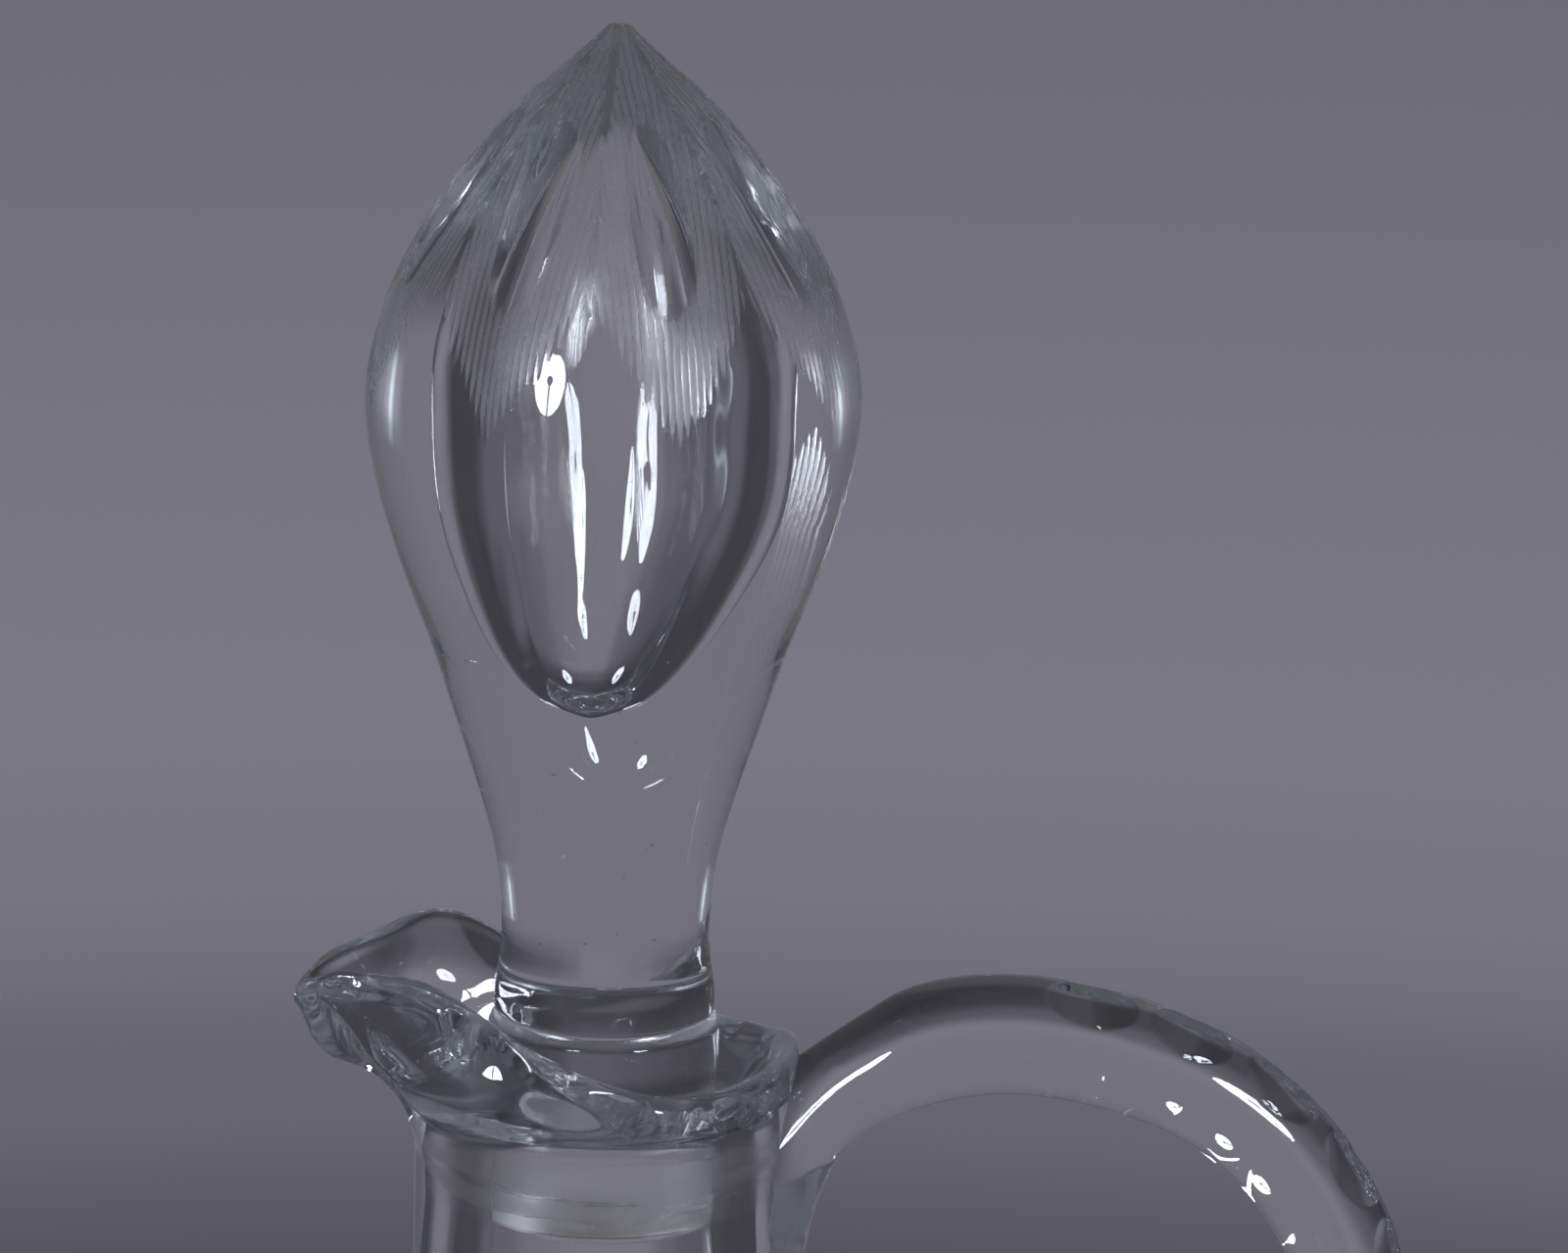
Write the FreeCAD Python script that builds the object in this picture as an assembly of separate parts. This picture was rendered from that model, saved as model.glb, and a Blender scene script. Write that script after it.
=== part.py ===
import FreeCAD, Part
import math
import os

# Footed cut crystal claret jug with a lift-out stopper, in millimetres, +Z up.
# The origin is on the jug's axis, on the surface that the foot stands on.
# The pouring lip points along -X and the handle along +X.

Vector = FreeCAD.Vector
os.makedirs("parts", exist_ok=True)

# Foot and stem
foot_radius = 46.0
foot_edge_height = 3.6
foot_edge_round = 1.4
foot_height = 15.0
foot_outline_shares = [(0.80, 0.295), (0.58, 0.385), (0.38, 0.535), (0.24, 0.745)]
stem_height = 22.0
stem_waist_radius = 7.6
stem_top_radius = 11.0
knop_radius = 13.4
knop_height = 9.0

# Bowl, neck and bore
bowl_radius = 58.0
bowl_height = 180.0
bowl_wall = 4.4
bowl_base_thickness = 12.0
neck_radius = 21.3
neck_length = 33.0
bore_radius = 13.6
lower_bowl_shares = [(0.03, 0.33), (0.12, 0.67), (0.24, 0.88)]
widest_height_share = 0.39
upper_bowl_shares = [(0.50, 0.945), (0.62, 0.77), (0.74, 0.50), (0.86, 0.20)]
bowl_flute_count = 12
bowl_flute_wheel_radius = 26.0
bowl_flute_depth = 1.5
bowl_flute_height_share = 0.17

# Pouring lip, measured from the level of the ring under the stopper's finial
lip_height = 16.0
lip_wall = 3.8
mouth_radius = 19.2
spout_reach = 34.7
lobe_rise = 5.7
side_drop = 5.9
seat_depth = 12.5
lip_sections = 60
lip_lean_deg = 50.0
rim_shares = [
    (0, 1.0, 0.612), (8, 0.826, 0.819), (14, 0.645, 0.905), (23, 0.497, 0.983), (40, 0.361, 1.0),
    (60, 0.142, 0.629), (80, 0.026, 0.328), (100, 0.0, 0.112), (120, 0.0, 0.0), (140, 0.02, 0.009),
    (160, 0.05, 0.095), (180, 0.07, 0.224),
]
rim_scallop_angles_deg = [66.4, 99.1, 131.8, 164.5]
rim_scallop_wheel_radius = 20.0
rim_scallop_depth = 1.2
rim_scallop_raise = 3.0
spout_outline_shares = [(0.07, 0.16), (0.20, 0.34), (0.44, 0.52), (0.74, 0.62)]
funnel_outline_shares = [(0.14, 0.20), (0.42, 0.46), (0.76, 0.74)]

# Stopper
finial_radius = 27.6
finial_height = 113.2
tip_radius = 1.2
ring_radius = 12.4
ring_height = 1.8
ring_edge = 1.0
finial_waist_radius = 11.7
finial_waist_height = 9.3
lower_finial_shares = [
    (0.15, 0.038), (0.23, 0.176), (0.309, 0.358), (0.389, 0.547), (0.428, 0.655), (0.488, 0.805),
    (0.548, 0.925),
]
finial_widest_height_share = 0.635
upper_finial_shares = [
    (0.14, 0.967), (0.25, 0.918), (0.358, 0.848), (0.467, 0.757), (0.576, 0.649), (0.685, 0.525),
    (0.794, 0.378), (0.903, 0.196),
]
finial_join_height = 1.0
bubble_floor = 37.2
bubble_height = 61.8
bubble_radius = 13.2
bubble_outline_shares = [(0.03, 0.26), (0.09, 0.455), (0.244, 0.746), (0.368, 0.91), (0.49, 0.985)]
bubble_top_shares = [(0.66, 0.925), (0.76, 0.76), (0.88, 0.44)]
bubble_widest_share = 0.56
cap_flute_count = 8
cap_flute_turn_deg = 16.5
cap_flute_wheel_radius = 9.0
cap_flute_depth = 1.1
cap_flute_height_share = 0.84

# Ground plug under the finial
plug_length = 23.0
plug_top_radius = 13.1
plug_bottom_radius = 12.4
plug_neck_radius = 11.2
plug_shoulder = 1.2
plug_edge = 1.0
plug_clearance = 0.15

# Handle: a round rod that rises from the neck, arches over and comes down to the shoulder
handle_rod_radius = 6.95
handle_taper = 0.8
handle_taper_length = 90.0
handle_reach = 88.4
handle_top_drop = 3.0
handle_height = 124.9
handle_root_length = 25.5
handle_root_half_width = 9.2
handle_foot_radius = 12.0
handle_root_shares = [-0.25, 0.0, 0.22, 0.44, 0.7, 1.0]
handle_root_fade = 2.2
handle_root_top_drop = 5.3
handle_path_shares = [
    (0.326, 0.0425), (0.379, 0.0205), (0.50, 0.0), (0.645, 0.012), (0.799, 0.058), (0.906, 0.132),
    (0.972, 0.231), (1.0, 0.372), (0.98, 0.533), (0.90, 0.694), (0.775, 0.825), (0.65, 0.91),
    (0.547, 0.965), (0.449, 1.0),
]
handle_foot_fade = 9.0
handle_ring_count = 24
handle_ring_points = 16
thumb_cut_wheel_radius = 13.0
thumb_cut_depth = 1.3
thumb_cut_pitch = 10.7
thumb_cut_count = 8
thumb_cut_angle_deg = 29.0
thumb_cut_start = 26.3

# Levels worked out from the sizes above
stem_level = foot_height
bowl_level = stem_level + stem_height
neck_level = bowl_level + bowl_height
lip_level = neck_level + neck_length
ring_level = lip_level + lip_height
finial_base = ring_level - finial_join_height
plug_bottom_level = finial_base - plug_length
full_turn = 360.0
outline_samples = 400
wall_points = 16
fuzzy_joint = 0.002


def at(radius, height):
    """A point of a meridian outline in the XZ plane."""
    return Vector(radius, 0, height)


def spline_through(points, start=None, end=None):
    """A smooth curve through points, spaced by their distances, with its end directions if given."""
    lengths = [0]
    for a, b in zip(points, points[1:]):
        lengths.append(lengths[-1] + a.distanceToPoint(b))
    spline = Part.BSplineCurve()
    if start is None:
        spline.interpolate(Points=points, Parameters=lengths)
    else:
        spline.interpolate(Points=points, Parameters=lengths, InitialTangent=start.normalize(),
                           FinalTangent=end.normalize(), Scale=False)
    return spline


def curve(points, start=None, end=None):
    return spline_through(points, start, end).toShape()


def ease(share):
    """A blend from 0 to 1 that starts and ends level, and stays at its ends outside them."""
    return (1 - math.cos(math.pi * min(1, max(0, share)))) / 2


def line(a, b):
    return Part.LineSegment(a, b).toShape()


def turned(edges):
    """A closed meridian outline turned about the jug's axis."""
    face = Part.Face(Part.Wire(edges))
    return face.revolve(Vector(0, 0, 0), Vector(0, 0, 1), full_turn)


def plug_radius_at(height):
    """The plug's ground taper at a height above the stand surface."""
    share = (height - plug_bottom_level) / plug_length
    return plug_bottom_radius + (plug_top_radius - plug_bottom_radius) * share


def bore_radius_at(height):
    return plug_radius_at(height) + plug_clearance


def bowl_outline():
    """The bowl's and neck's outer outline, from the stem up to the lip, as one smooth edge."""
    low = stem_top_radius
    points = [at(stem_top_radius, bowl_level)]
    for height_share, share in lower_bowl_shares:
        points.append(at(low + (bowl_radius - low) * share, bowl_level + bowl_height * height_share))
    points.append(at(bowl_radius, bowl_level + bowl_height * widest_height_share))
    for height_share, share in upper_bowl_shares:
        radius = neck_radius + (bowl_radius - neck_radius) * share
        points.append(at(radius, bowl_level + bowl_height * height_share))
    points.append(at(neck_radius, neck_level))
    return curve(points, Vector(1, 0, 0), Vector(0, 0, 1))


def bowl_inside():
    """The bowl's inner outline: the outer one moved in by a wall that thickens towards the neck."""
    outer = bowl_outline().Curve
    neck_wall = neck_radius - bore_radius
    first, last = outer.FirstParameter, outer.LastParameter
    floor_level = bowl_level + bowl_base_thickness
    points = [at(0, floor_level)]
    for i in range(1, wall_points):
        u = first + (last - first) * i / wall_points
        point = outer.value(u)
        along = outer.tangent(u)[0]
        rise = (point.z - bowl_level) / bowl_height
        wall = bowl_wall + (neck_wall - bowl_wall) * rise ** 3
        inside = at(point.x - along.z * wall, point.z + along.x * wall)
        if inside.z > floor_level + bowl_wall:
            points.append(inside)
    points.append(at(bore_radius, neck_level))
    return curve(points, Vector(1, 0, 0), Vector(0, 0, 1))


def solid_jug():
    """The bowl and neck filled with glass, which the handle and stem are seated on."""
    axis_low = at(0, bowl_level)
    axis_high = at(0, lip_level)
    neck_low = at(neck_radius, neck_level)
    neck_high = at(neck_radius, lip_level)
    base = line(axis_low, at(stem_top_radius, bowl_level))
    return turned([base, bowl_outline(), line(neck_low, neck_high), line(neck_high, axis_high),
                   line(axis_high, axis_low)])


def rim_curve():
    """The rim's ridge as a smooth curve of radius and height over the angle from the spout, in degrees."""
    points = []
    for turn, reach_share, rise_share in rim_shares:
        reach = mouth_radius + (spout_reach - mouth_radius) * reach_share
        points.append(Vector(turn, reach, (lobe_rise + side_drop) * rise_share - side_drop))
    spline = Part.BSplineCurve()
    spline.interpolate(Points=points, Parameters=[point.x for point in points],
                       InitialTangent=Vector(1, 0, 0), FinalTangent=Vector(1, 0, 0), Scale=False)
    return spline


def rim_at(angle):
    """Radius and height of the rim's ridge, by the angle from the spout, in radians."""
    turn = abs(math.degrees(angle))
    if turn > full_turn / 2:
        turn = full_turn - turn
    ridge = rim_curve().value(turn)
    return ridge.y, ridge.z


def lip_section(angle):
    """The wall of the mouth in one half plane through the axis."""
    reach, rise = rim_at(angle)
    ridge_height = ring_level + rise
    flare = max(0, (reach - mouth_radius) / (spout_reach - mouth_radius))
    lean = math.radians(lip_lean_deg) * flare
    half = lip_wall / 2
    ridge = at(reach, ridge_height)
    middle = at(reach - half * math.sin(lean), ridge_height - half * math.cos(lean))
    outer_edge = at(middle.x + half * math.cos(lean), middle.z - half * math.sin(lean))
    inner_edge = at(middle.x - half * math.cos(lean), middle.z + half * math.sin(lean))
    foot_outer = at(neck_radius, lip_level)
    foot_inner = at(bore_radius_at(lip_level), lip_level)
    seat_level = ring_level - seat_depth
    seat = at(bore_radius_at(seat_level), seat_level)
    outside = [foot_outer]
    for radius_share, height_share in spout_outline_shares:
        radius_share = radius_share * flare + height_share * (1 - flare)
        outside.append(at(
            neck_radius + (outer_edge.x - neck_radius) * radius_share,
            lip_level + (outer_edge.z - lip_level) * height_share))
    outside.append(outer_edge)
    inside = [inner_edge]
    for height_share, radius_share in reversed(funnel_outline_shares):
        inside.append(at(
            seat.x + (inner_edge.x - seat.x) * radius_share,
            seat.z + (inner_edge.z - seat.z) * height_share))
    inside.append(seat)
    edges = [
        curve(outside),
        Part.Arc(outer_edge, ridge, inner_edge).toShape(),
        curve(inside),
        line(seat, foot_inner),
        line(foot_inner, foot_outer),
    ]
    wire = Part.Wire(edges)
    wire.rotate(Vector(0, 0, 0), Vector(0, 0, 1), 180 + math.degrees(angle))
    return wire


def lip():
    """The flared mouth with its pinched pouring lip."""
    step = 2 * math.pi / lip_sections
    sections = [lip_section(i * step) for i in range(lip_sections)]
    return Part.makeLoft(sections, True, False, True)


def jug_body():
    """Bowl, neck and mouth in one piece of glass, open from the bowl's floor to the rim."""
    inside = bowl_inside()
    bore_low = at(bore_radius, neck_level)
    bore_top = at(bore_radius_at(lip_level), lip_level)
    plug_end = at(bore_radius_at(plug_bottom_level), plug_bottom_level - plug_clearance)
    neck_high = at(neck_radius, lip_level)
    floor = inside.Vertexes[0].Point
    vessel = turned([
        line(at(0, bowl_level), at(stem_top_radius, bowl_level)),
        bowl_outline(),
        line(at(neck_radius, neck_level), neck_high),
        line(neck_high, bore_top),
        line(bore_top, plug_end),
        line(plug_end, bore_low),
        inside,
        line(floor, at(0, bowl_level)),
    ])
    return vessel.fuse(lip(), fuzzy_joint).removeSplitter()


def cut_flutes(shape, cutter, count, first_turn_deg):
    """Grinds the same hollow into the glass, count times round the axis."""
    for i in range(count):
        tool = cutter.copy()
        tool.rotate(Vector(0, 0, 0), Vector(0, 0, 1), first_turn_deg + full_turn * i / count)
        shape = shape.cut(tool)
    return shape


def wheel_along(outline, height, wheel_radius, depth, length):
    """A cutting wheel's path laid along an outline, sunk by depth where it touches at a height."""
    first, last = outline.FirstParameter, outline.LastParameter
    steps = [first + (last - first) * i / outline_samples for i in range(outline_samples + 1)]
    touch = min(steps, key=lambda u: abs(outline.value(u).z - height))
    along = outline.tangent(touch)[0]
    outward = Vector(along.z, 0, -along.x)
    centre = outline.value(touch) + outward * (wheel_radius - depth)
    return Part.makeCylinder(wheel_radius, length, centre - along * (length / 2), along)


def foot():
    """The foot: a round disc with a rounded edge, rising to the stem in one curve."""
    points = [at(foot_radius - foot_edge_round, foot_edge_height)]
    for radius_share, height_share in foot_outline_shares:
        points.append(at(foot_radius * radius_share, foot_height * height_share))
    points.append(at(stem_waist_radius, stem_level))
    low_edge = at(foot_radius - foot_edge_round, 0)
    edge_low = at(foot_radius, foot_edge_round)
    edge_high = at(foot_radius, foot_edge_height - foot_edge_round)
    diagonal = foot_edge_round * math.sqrt(0.5)
    middle_radius = foot_radius - foot_edge_round + diagonal
    low_middle = at(middle_radius, foot_edge_round - diagonal)
    high_middle = at(middle_radius, foot_edge_height - foot_edge_round + diagonal)
    return turned([
        line(at(0, 0), low_edge),
        Part.Arc(low_edge, low_middle, edge_low).toShape(),
        line(edge_low, edge_high),
        Part.Arc(edge_high, high_middle, points[0]).toShape(),
        curve(points, Vector(-1, 0, 0), Vector(-1, 0, 2)),
        line(points[-1], at(0, stem_level)),
        line(at(0, stem_level), at(0, 0)),
    ])


def stem():
    """The short stem between foot and bowl, with a round knop in its middle."""
    middle = stem_level + stem_height / 2
    half_knop = knop_height / 2
    low = at(stem_waist_radius, stem_level)
    high = at(stem_top_radius, bowl_level)
    waist_low = at(stem_waist_radius, middle - half_knop)
    waist_high = at(stem_waist_radius, middle + half_knop)
    return turned([
        line(at(0, stem_level), low),
        line(low, waist_low),
        Part.Arc(waist_low, at(knop_radius, middle), waist_high).toShape(),
        curve([waist_high, high], Vector(0, 0, 1), Vector(1, 0, 0)),
        line(high, at(0, bowl_level)),
        line(at(0, bowl_level), at(0, stem_level)),
    ])


def finial_outline():
    """The finial's outline from its waist up over the widest place to the tip."""
    waist_level = finial_base + finial_waist_height
    widest_level = finial_base + finial_height * finial_widest_height_share
    tip_level = finial_base + finial_height
    points = [at(finial_waist_radius, waist_level)]
    for height_share, share in lower_finial_shares:
        radius = finial_waist_radius + (finial_radius - finial_waist_radius) * share
        points.append(at(radius, finial_base + finial_height * height_share))
    points.append(at(finial_radius, widest_level))
    for height_share, share in upper_finial_shares:
        points.append(at(finial_radius * share, widest_level + (tip_level - widest_level) * height_share))
    points.append(at(tip_radius, tip_level))
    return curve(points)


def bubble():
    """The long air bubble closed inside the finial."""
    low = ring_level + bubble_floor
    points = [at(0, low)]
    for height_share, share in bubble_outline_shares + [(bubble_widest_share, 1)] + bubble_top_shares:
        points.append(at(bubble_radius * share, low + bubble_height * height_share))
    top = at(0, low + bubble_height)
    points.append(top)
    outline = curve(points, Vector(1, 0, 0.4), Vector(-1, 0, 1.6))
    return turned([outline, line(top, points[0])])


def stopper_finial():
    """The pointed finial with its air bubble, the cut cap and the ring above the plug."""
    outline = finial_outline()
    base = at(ring_radius - ring_edge, finial_base)
    ring_low = at(ring_radius, finial_base + ring_edge)
    ring_high = at(ring_radius, finial_base + ring_height)
    waist = outline.Vertexes[0].Point
    tip = outline.Vertexes[-1].Point
    corner_inset = ring_edge * (1 - math.sqrt(0.5))
    corner = at(ring_radius - corner_inset, finial_base + corner_inset)
    glass = turned([
        line(at(0, finial_base), base),
        Part.Arc(base, corner, ring_low).toShape(),
        line(ring_low, ring_high),
        curve([ring_high, waist], Vector(0, 0, 1), Vector(0, 0, 1)),
        outline,
        line(tip, at(0, tip.z)),
        line(at(0, tip.z), at(0, finial_base)),
    ])
    flute_level = finial_base + finial_height * cap_flute_height_share
    wheel = wheel_along(outline.Curve, flute_level, cap_flute_wheel_radius, cap_flute_depth, finial_height)
    return cut_flutes(glass, wheel, cap_flute_count, cap_flute_turn_deg).cut(bubble())


def stopper_plug():
    """The ground plug that closes the bore, with a narrow groove under the ring."""
    bottom = at(plug_bottom_radius - plug_edge, plug_bottom_level)
    edge_level = plug_bottom_level + plug_edge
    bottom_edge = at(plug_radius_at(edge_level), edge_level)
    shoulder_level = finial_base - plug_shoulder
    shoulder = at(plug_radius_at(shoulder_level), shoulder_level)
    top = at(plug_neck_radius, finial_base)
    return turned([
        line(at(0, plug_bottom_level), bottom),
        line(bottom, bottom_edge),
        line(bottom_edge, shoulder),
        curve([shoulder, top], Vector(0, 0, 1), Vector(-1, 0, 0.2)),
        line(top, at(0, finial_base)),
        line(at(0, finial_base), at(0, plug_bottom_level)),
    ])


def handle_point(reach_share, drop_share):
    """A point of the rod's centre line, which lies in the XZ plane."""
    return at(handle_reach * reach_share, ring_level - handle_top_drop - handle_height * drop_share)


def handle_path():
    """The rod's centre line from the root over the arch to the shoulder, as one smooth curve."""
    return spline_through([handle_point(*place) for place in handle_path_shares])


def ring_across(centre, along, half_height, half_width):
    """A closed oval across the rod, square to its direction."""
    upward = Vector(-along.z, 0, along.x)
    points = []
    for i in range(handle_ring_points):
        angle = 2 * math.pi * i / handle_ring_points
        sideways = Vector(0, half_width * math.sin(angle), 0)
        points.append(centre + upward * (half_height * math.cos(angle)) + sideways)
    spline = Part.BSplineCurve()
    spline.interpolate(Points=points, PeriodicFlag=True)
    return Part.Wire(spline.toShape())


def handle_root():
    """The root that clasps the neck, its tail thinning down the glass, up to the first ring of the rod."""
    start = handle_path().value(0)
    reach = start.x - neck_radius
    thinnest = math.exp(-reach / handle_root_fade)
    rings = []
    for share in handle_root_shares:
        distance = reach * share
        fade = (math.exp(-max(0, distance) / handle_root_fade) - thinnest) / (1 - thinnest)
        top = start.z + handle_rod_radius - handle_root_top_drop * (1 - share) ** 2
        bottom = start.z - handle_rod_radius - handle_root_length * fade
        centre = at(neck_radius + distance, (top + bottom) / 2)
        half_width = handle_rod_radius + (handle_root_half_width - handle_rod_radius) * fade
        rings.append(ring_across(centre, Vector(1, 0, 0), (top - bottom) / 2, half_width))
    return Part.makeLoft(rings, True, False, False)


def rod_radius_at(place, length):
    """The rod's radius at a place along its length: it thins over the arch and swells at its foot."""
    swell = math.exp((place - length) / handle_foot_fade)
    thinned = handle_rod_radius - handle_taper * ease(place / handle_taper_length)
    return thinned + (handle_foot_radius - handle_rod_radius) * swell


def handle_rod():
    """The rod over its arch, swelling where its foot is fused on the shoulder."""
    path = handle_path()
    rings = []
    for i in range(handle_ring_count + 1):
        place = path.length() * i / handle_ring_count
        u = path.parameterAtDistance(place, path.FirstParameter)
        radius = rod_radius_at(place, path.length())
        along = path.tangent(u)[0]
        if i == 0:
            along = Vector(1, 0, 0)
        rings.append(ring_across(path.value(u), along, radius, radius))
    return Part.makeLoft(rings, True, False, False)


def thumb_cuts():
    """Two rows of wheels that grind the hollows on either side of the handle's spine."""
    path = handle_path()
    tools = []
    for i in range(thumb_cut_count):
        place = thumb_cut_start + thumb_cut_pitch * i
        u = path.parameterAtDistance(place, path.FirstParameter)
        along = path.tangent(u)[0]
        outward = Vector(-along.z, 0, along.x)
        for side in (-1, 1):
            angle = math.radians(thumb_cut_angle_deg) * side
            direction = outward * math.cos(angle) + Vector(0, math.sin(angle), 0)
            distance = rod_radius_at(place, path.length()) + thumb_cut_wheel_radius - thumb_cut_depth
            tools.append(Part.makeSphere(thumb_cut_wheel_radius, path.value(u) + direction * distance))
    return tools


def handle(jug):
    """The applied handle: rod and root, trimmed to the glass they are fused on, with the thumb cuts."""
    blank = solid_jug()
    rod = handle_rod().cut(blank)
    root = handle_root().cut(blank).cut(jug)
    return rod.fuse(root, fuzzy_joint).cut(thumb_cuts())


def rim_scallops():
    """Wheels that grind the shallow scallops round the outside of the rim."""
    tools = []
    for angle_deg in rim_scallop_angles_deg:
        for side in (-1, 1):
            turn = math.radians(angle_deg) * side
            reach, rise = rim_at(turn)
            distance = reach + lip_wall / 2 + rim_scallop_wheel_radius - rim_scallop_depth
            centre = Vector(-math.cos(turn) * distance, -math.sin(turn) * distance,
                            ring_level + rise + rim_scallop_raise)
            tools.append(Part.makeSphere(rim_scallop_wheel_radius, centre))
    return tools


def cut_jug(jug):
    """The jug's body with the scallops round its rim and the ring of flutes round its base."""
    level = bowl_level + bowl_height * bowl_flute_height_share
    outline = bowl_outline().Curve
    wheel = wheel_along(outline, level, bowl_flute_wheel_radius, bowl_flute_depth, bowl_height)
    return cut_flutes(jug.cut(rim_scallops()), wheel, bowl_flute_count, 0)


plain_jug = jug_body()
pieces = {
    "jug_body": cut_jug(plain_jug),
    "handle": handle(plain_jug),
    "stem": stem(),
    "foot": foot(),
    "stopper_finial": stopper_finial(),
    "stopper_plug": stopper_plug(),
}
for name, shape in pieces.items():
    solids = shape.Solids
    box = shape.BoundBox
    corners = [box.XMin, box.XMax, box.YMin, box.YMax, box.ZMin, box.ZMax]
    print(name, len(solids), all(s.isValid() for s in solids), round(shape.Volume), "mm3",
          [round(v, 1) for v in corners])
    if len(solids) == 1:
        shape = solids[0]
    shape.exportStep("parts/" + name + ".step")
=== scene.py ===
import math
import random

import bmesh
import bpy
import numpy as np
from mathutils import Matrix, Vector

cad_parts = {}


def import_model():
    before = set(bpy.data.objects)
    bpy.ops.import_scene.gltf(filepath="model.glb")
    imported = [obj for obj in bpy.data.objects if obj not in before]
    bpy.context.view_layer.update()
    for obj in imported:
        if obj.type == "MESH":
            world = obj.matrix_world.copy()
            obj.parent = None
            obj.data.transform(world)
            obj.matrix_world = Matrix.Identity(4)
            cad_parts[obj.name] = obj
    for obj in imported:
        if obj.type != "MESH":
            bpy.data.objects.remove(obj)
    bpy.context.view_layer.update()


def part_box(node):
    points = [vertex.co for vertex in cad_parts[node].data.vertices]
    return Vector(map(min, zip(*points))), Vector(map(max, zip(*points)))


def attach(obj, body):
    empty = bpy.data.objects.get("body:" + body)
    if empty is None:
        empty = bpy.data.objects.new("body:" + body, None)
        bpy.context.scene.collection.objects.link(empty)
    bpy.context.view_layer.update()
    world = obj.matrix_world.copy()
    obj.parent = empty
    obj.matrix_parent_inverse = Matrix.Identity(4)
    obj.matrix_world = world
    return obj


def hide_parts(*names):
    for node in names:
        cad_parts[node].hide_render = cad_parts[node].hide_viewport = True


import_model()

# Cut crystal claret jug with a lift-out stopper, in metres, +Z up.
# The pouring lip points along -X and the handle along +X. The finish of each glass piece is made here.
MM = 0.001

# Camera: the photograph's middle, its distance, tilt and lean
camera_target = Vector((0.0194, 0.0, 0.3102))
camera_distance = 1.0
camera_elevation_deg = 15.0
camera_lean_deg = 1.17
camera_clip_start = 0.01
camera_clip_end = 60
frame_width = 0.1751
sensor_width_mm = 36.0

# Levels and sizes of the glass, which follow the construction
stem_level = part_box("stem")[0].z
bowl_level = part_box("stem")[1].z
finial_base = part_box("stopper_finial")[0].z
plug_bottom_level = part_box("stopper_plug")[0].z
finial_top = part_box("stopper_finial")[1].z
finial_height = finial_top - finial_base
ring_level = finial_base + 1.0 * MM
lip_height = 16.0 * MM
lip_level = ring_level - lip_height
neck_length = 33.0 * MM
neck_level = lip_level - neck_length
bowl_height = neck_level - bowl_level
bowl_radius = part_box("jug_body")[1].x
foot_radius = 46.0 * MM
foot_height = stem_level

full_turn = 2 * math.pi
joint_reach = 0.01 * MM
least_length = 1e-9

# Foot and stem. Here and below, the pairs of an outline's shares give height first and radius second.
foot_edge_height = 3.6 * MM
foot_edge_round = 1.4 * MM
foot_outline_shares = [(0.295, 0.80), (0.385, 0.58), (0.535, 0.38), (0.745, 0.24)]
stem_waist_radius = 7.6 * MM
stem_top_radius = 11.0 * MM
knop_radius = 13.4 * MM
knop_height = 9.0 * MM
star_points = 16
star_depth = 0.7 * MM
star_reach_share = 0.86
star_width_share = 0.9
star_run_out = 6
star_least_width = 1e-3
foot_middle_radius = 0.6 * MM

# Bowl, neck and bore
bowl_wall = 4.4 * MM
bowl_base_thickness = 12.0 * MM
neck_radius = 21.3 * MM
bore_radius = 13.6 * MM
lower_bowl_shares = [(0.03, 0.33), (0.12, 0.67), (0.24, 0.88)]
widest_height_share = 0.39
upper_bowl_shares = [(0.50, 0.945), (0.62, 0.77), (0.74, 0.50), (0.86, 0.20)]
bowl_inside_spans = 16
bowl_inside_span_points = 10
bowl_flute_count = 12
bowl_flute_wheel_radius = 26.0 * MM
bowl_flute_depth = 1.5 * MM
bowl_flute_height_share = 0.17

# Pouring lip, heights above the ring under the finial
lip_wall = 3.8 * MM
mouth_radius = 19.2 * MM
spout_reach = 34.7 * MM
lobe_rise = 5.7 * MM
side_drop = 5.9 * MM
seat_depth = 12.5 * MM
lip_lean_deg = 50.0
rim_shares = [
    (0, 1.0, 0.612), (8, 0.826, 0.819), (14, 0.645, 0.905), (23, 0.497, 0.983), (40, 0.361, 1.0),
    (60, 0.142, 0.629), (80, 0.026, 0.328), (100, 0.0, 0.112), (120, 0.0, 0.0), (140, 0.02, 0.009),
    (160, 0.05, 0.095), (180, 0.07, 0.224),
]
rim_scallop_angles_deg = [66.4, 99.1, 131.8, 164.5]
rim_scallop_wheel_radius = 20.0 * MM
rim_scallop_depth = 1.2 * MM
rim_scallop_raise = 3.0 * MM
spout_outline_shares = [(0.16, 0.07), (0.34, 0.20), (0.52, 0.44), (0.62, 0.74)]
funnel_outline_shares = [(0.14, 0.20), (0.42, 0.46), (0.76, 0.74)]

# Stopper
finial_radius = 27.6 * MM
tip_radius = 1.2 * MM
ring_radius = 12.55 * MM
ring_edge = 0.9 * MM
ring_flare_shares = [(0.21, 0.98), (0.30, 0.90), (0.42, 0.74), (0.56, 0.51), (0.70, 0.28), (0.84, 0.10)]
finial_waist_radius = 11.7 * MM
finial_waist_height = 9.3 * MM
lower_finial_shares = [
    (0.15, 0.038), (0.23, 0.176), (0.309, 0.358), (0.389, 0.547), (0.428, 0.655), (0.488, 0.805),
    (0.548, 0.925),
]
finial_widest_height_share = 0.635
upper_finial_shares = [
    (0.14, 0.967), (0.25, 0.918), (0.358, 0.848), (0.467, 0.757), (0.576, 0.649), (0.685, 0.525),
    (0.794, 0.378), (0.903, 0.196),
]
bubble_floor = 37.2 * MM
bubble_height = 61.8 * MM
bubble_lean = 1.3 * MM
bubble_lean_share = 0.45
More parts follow.
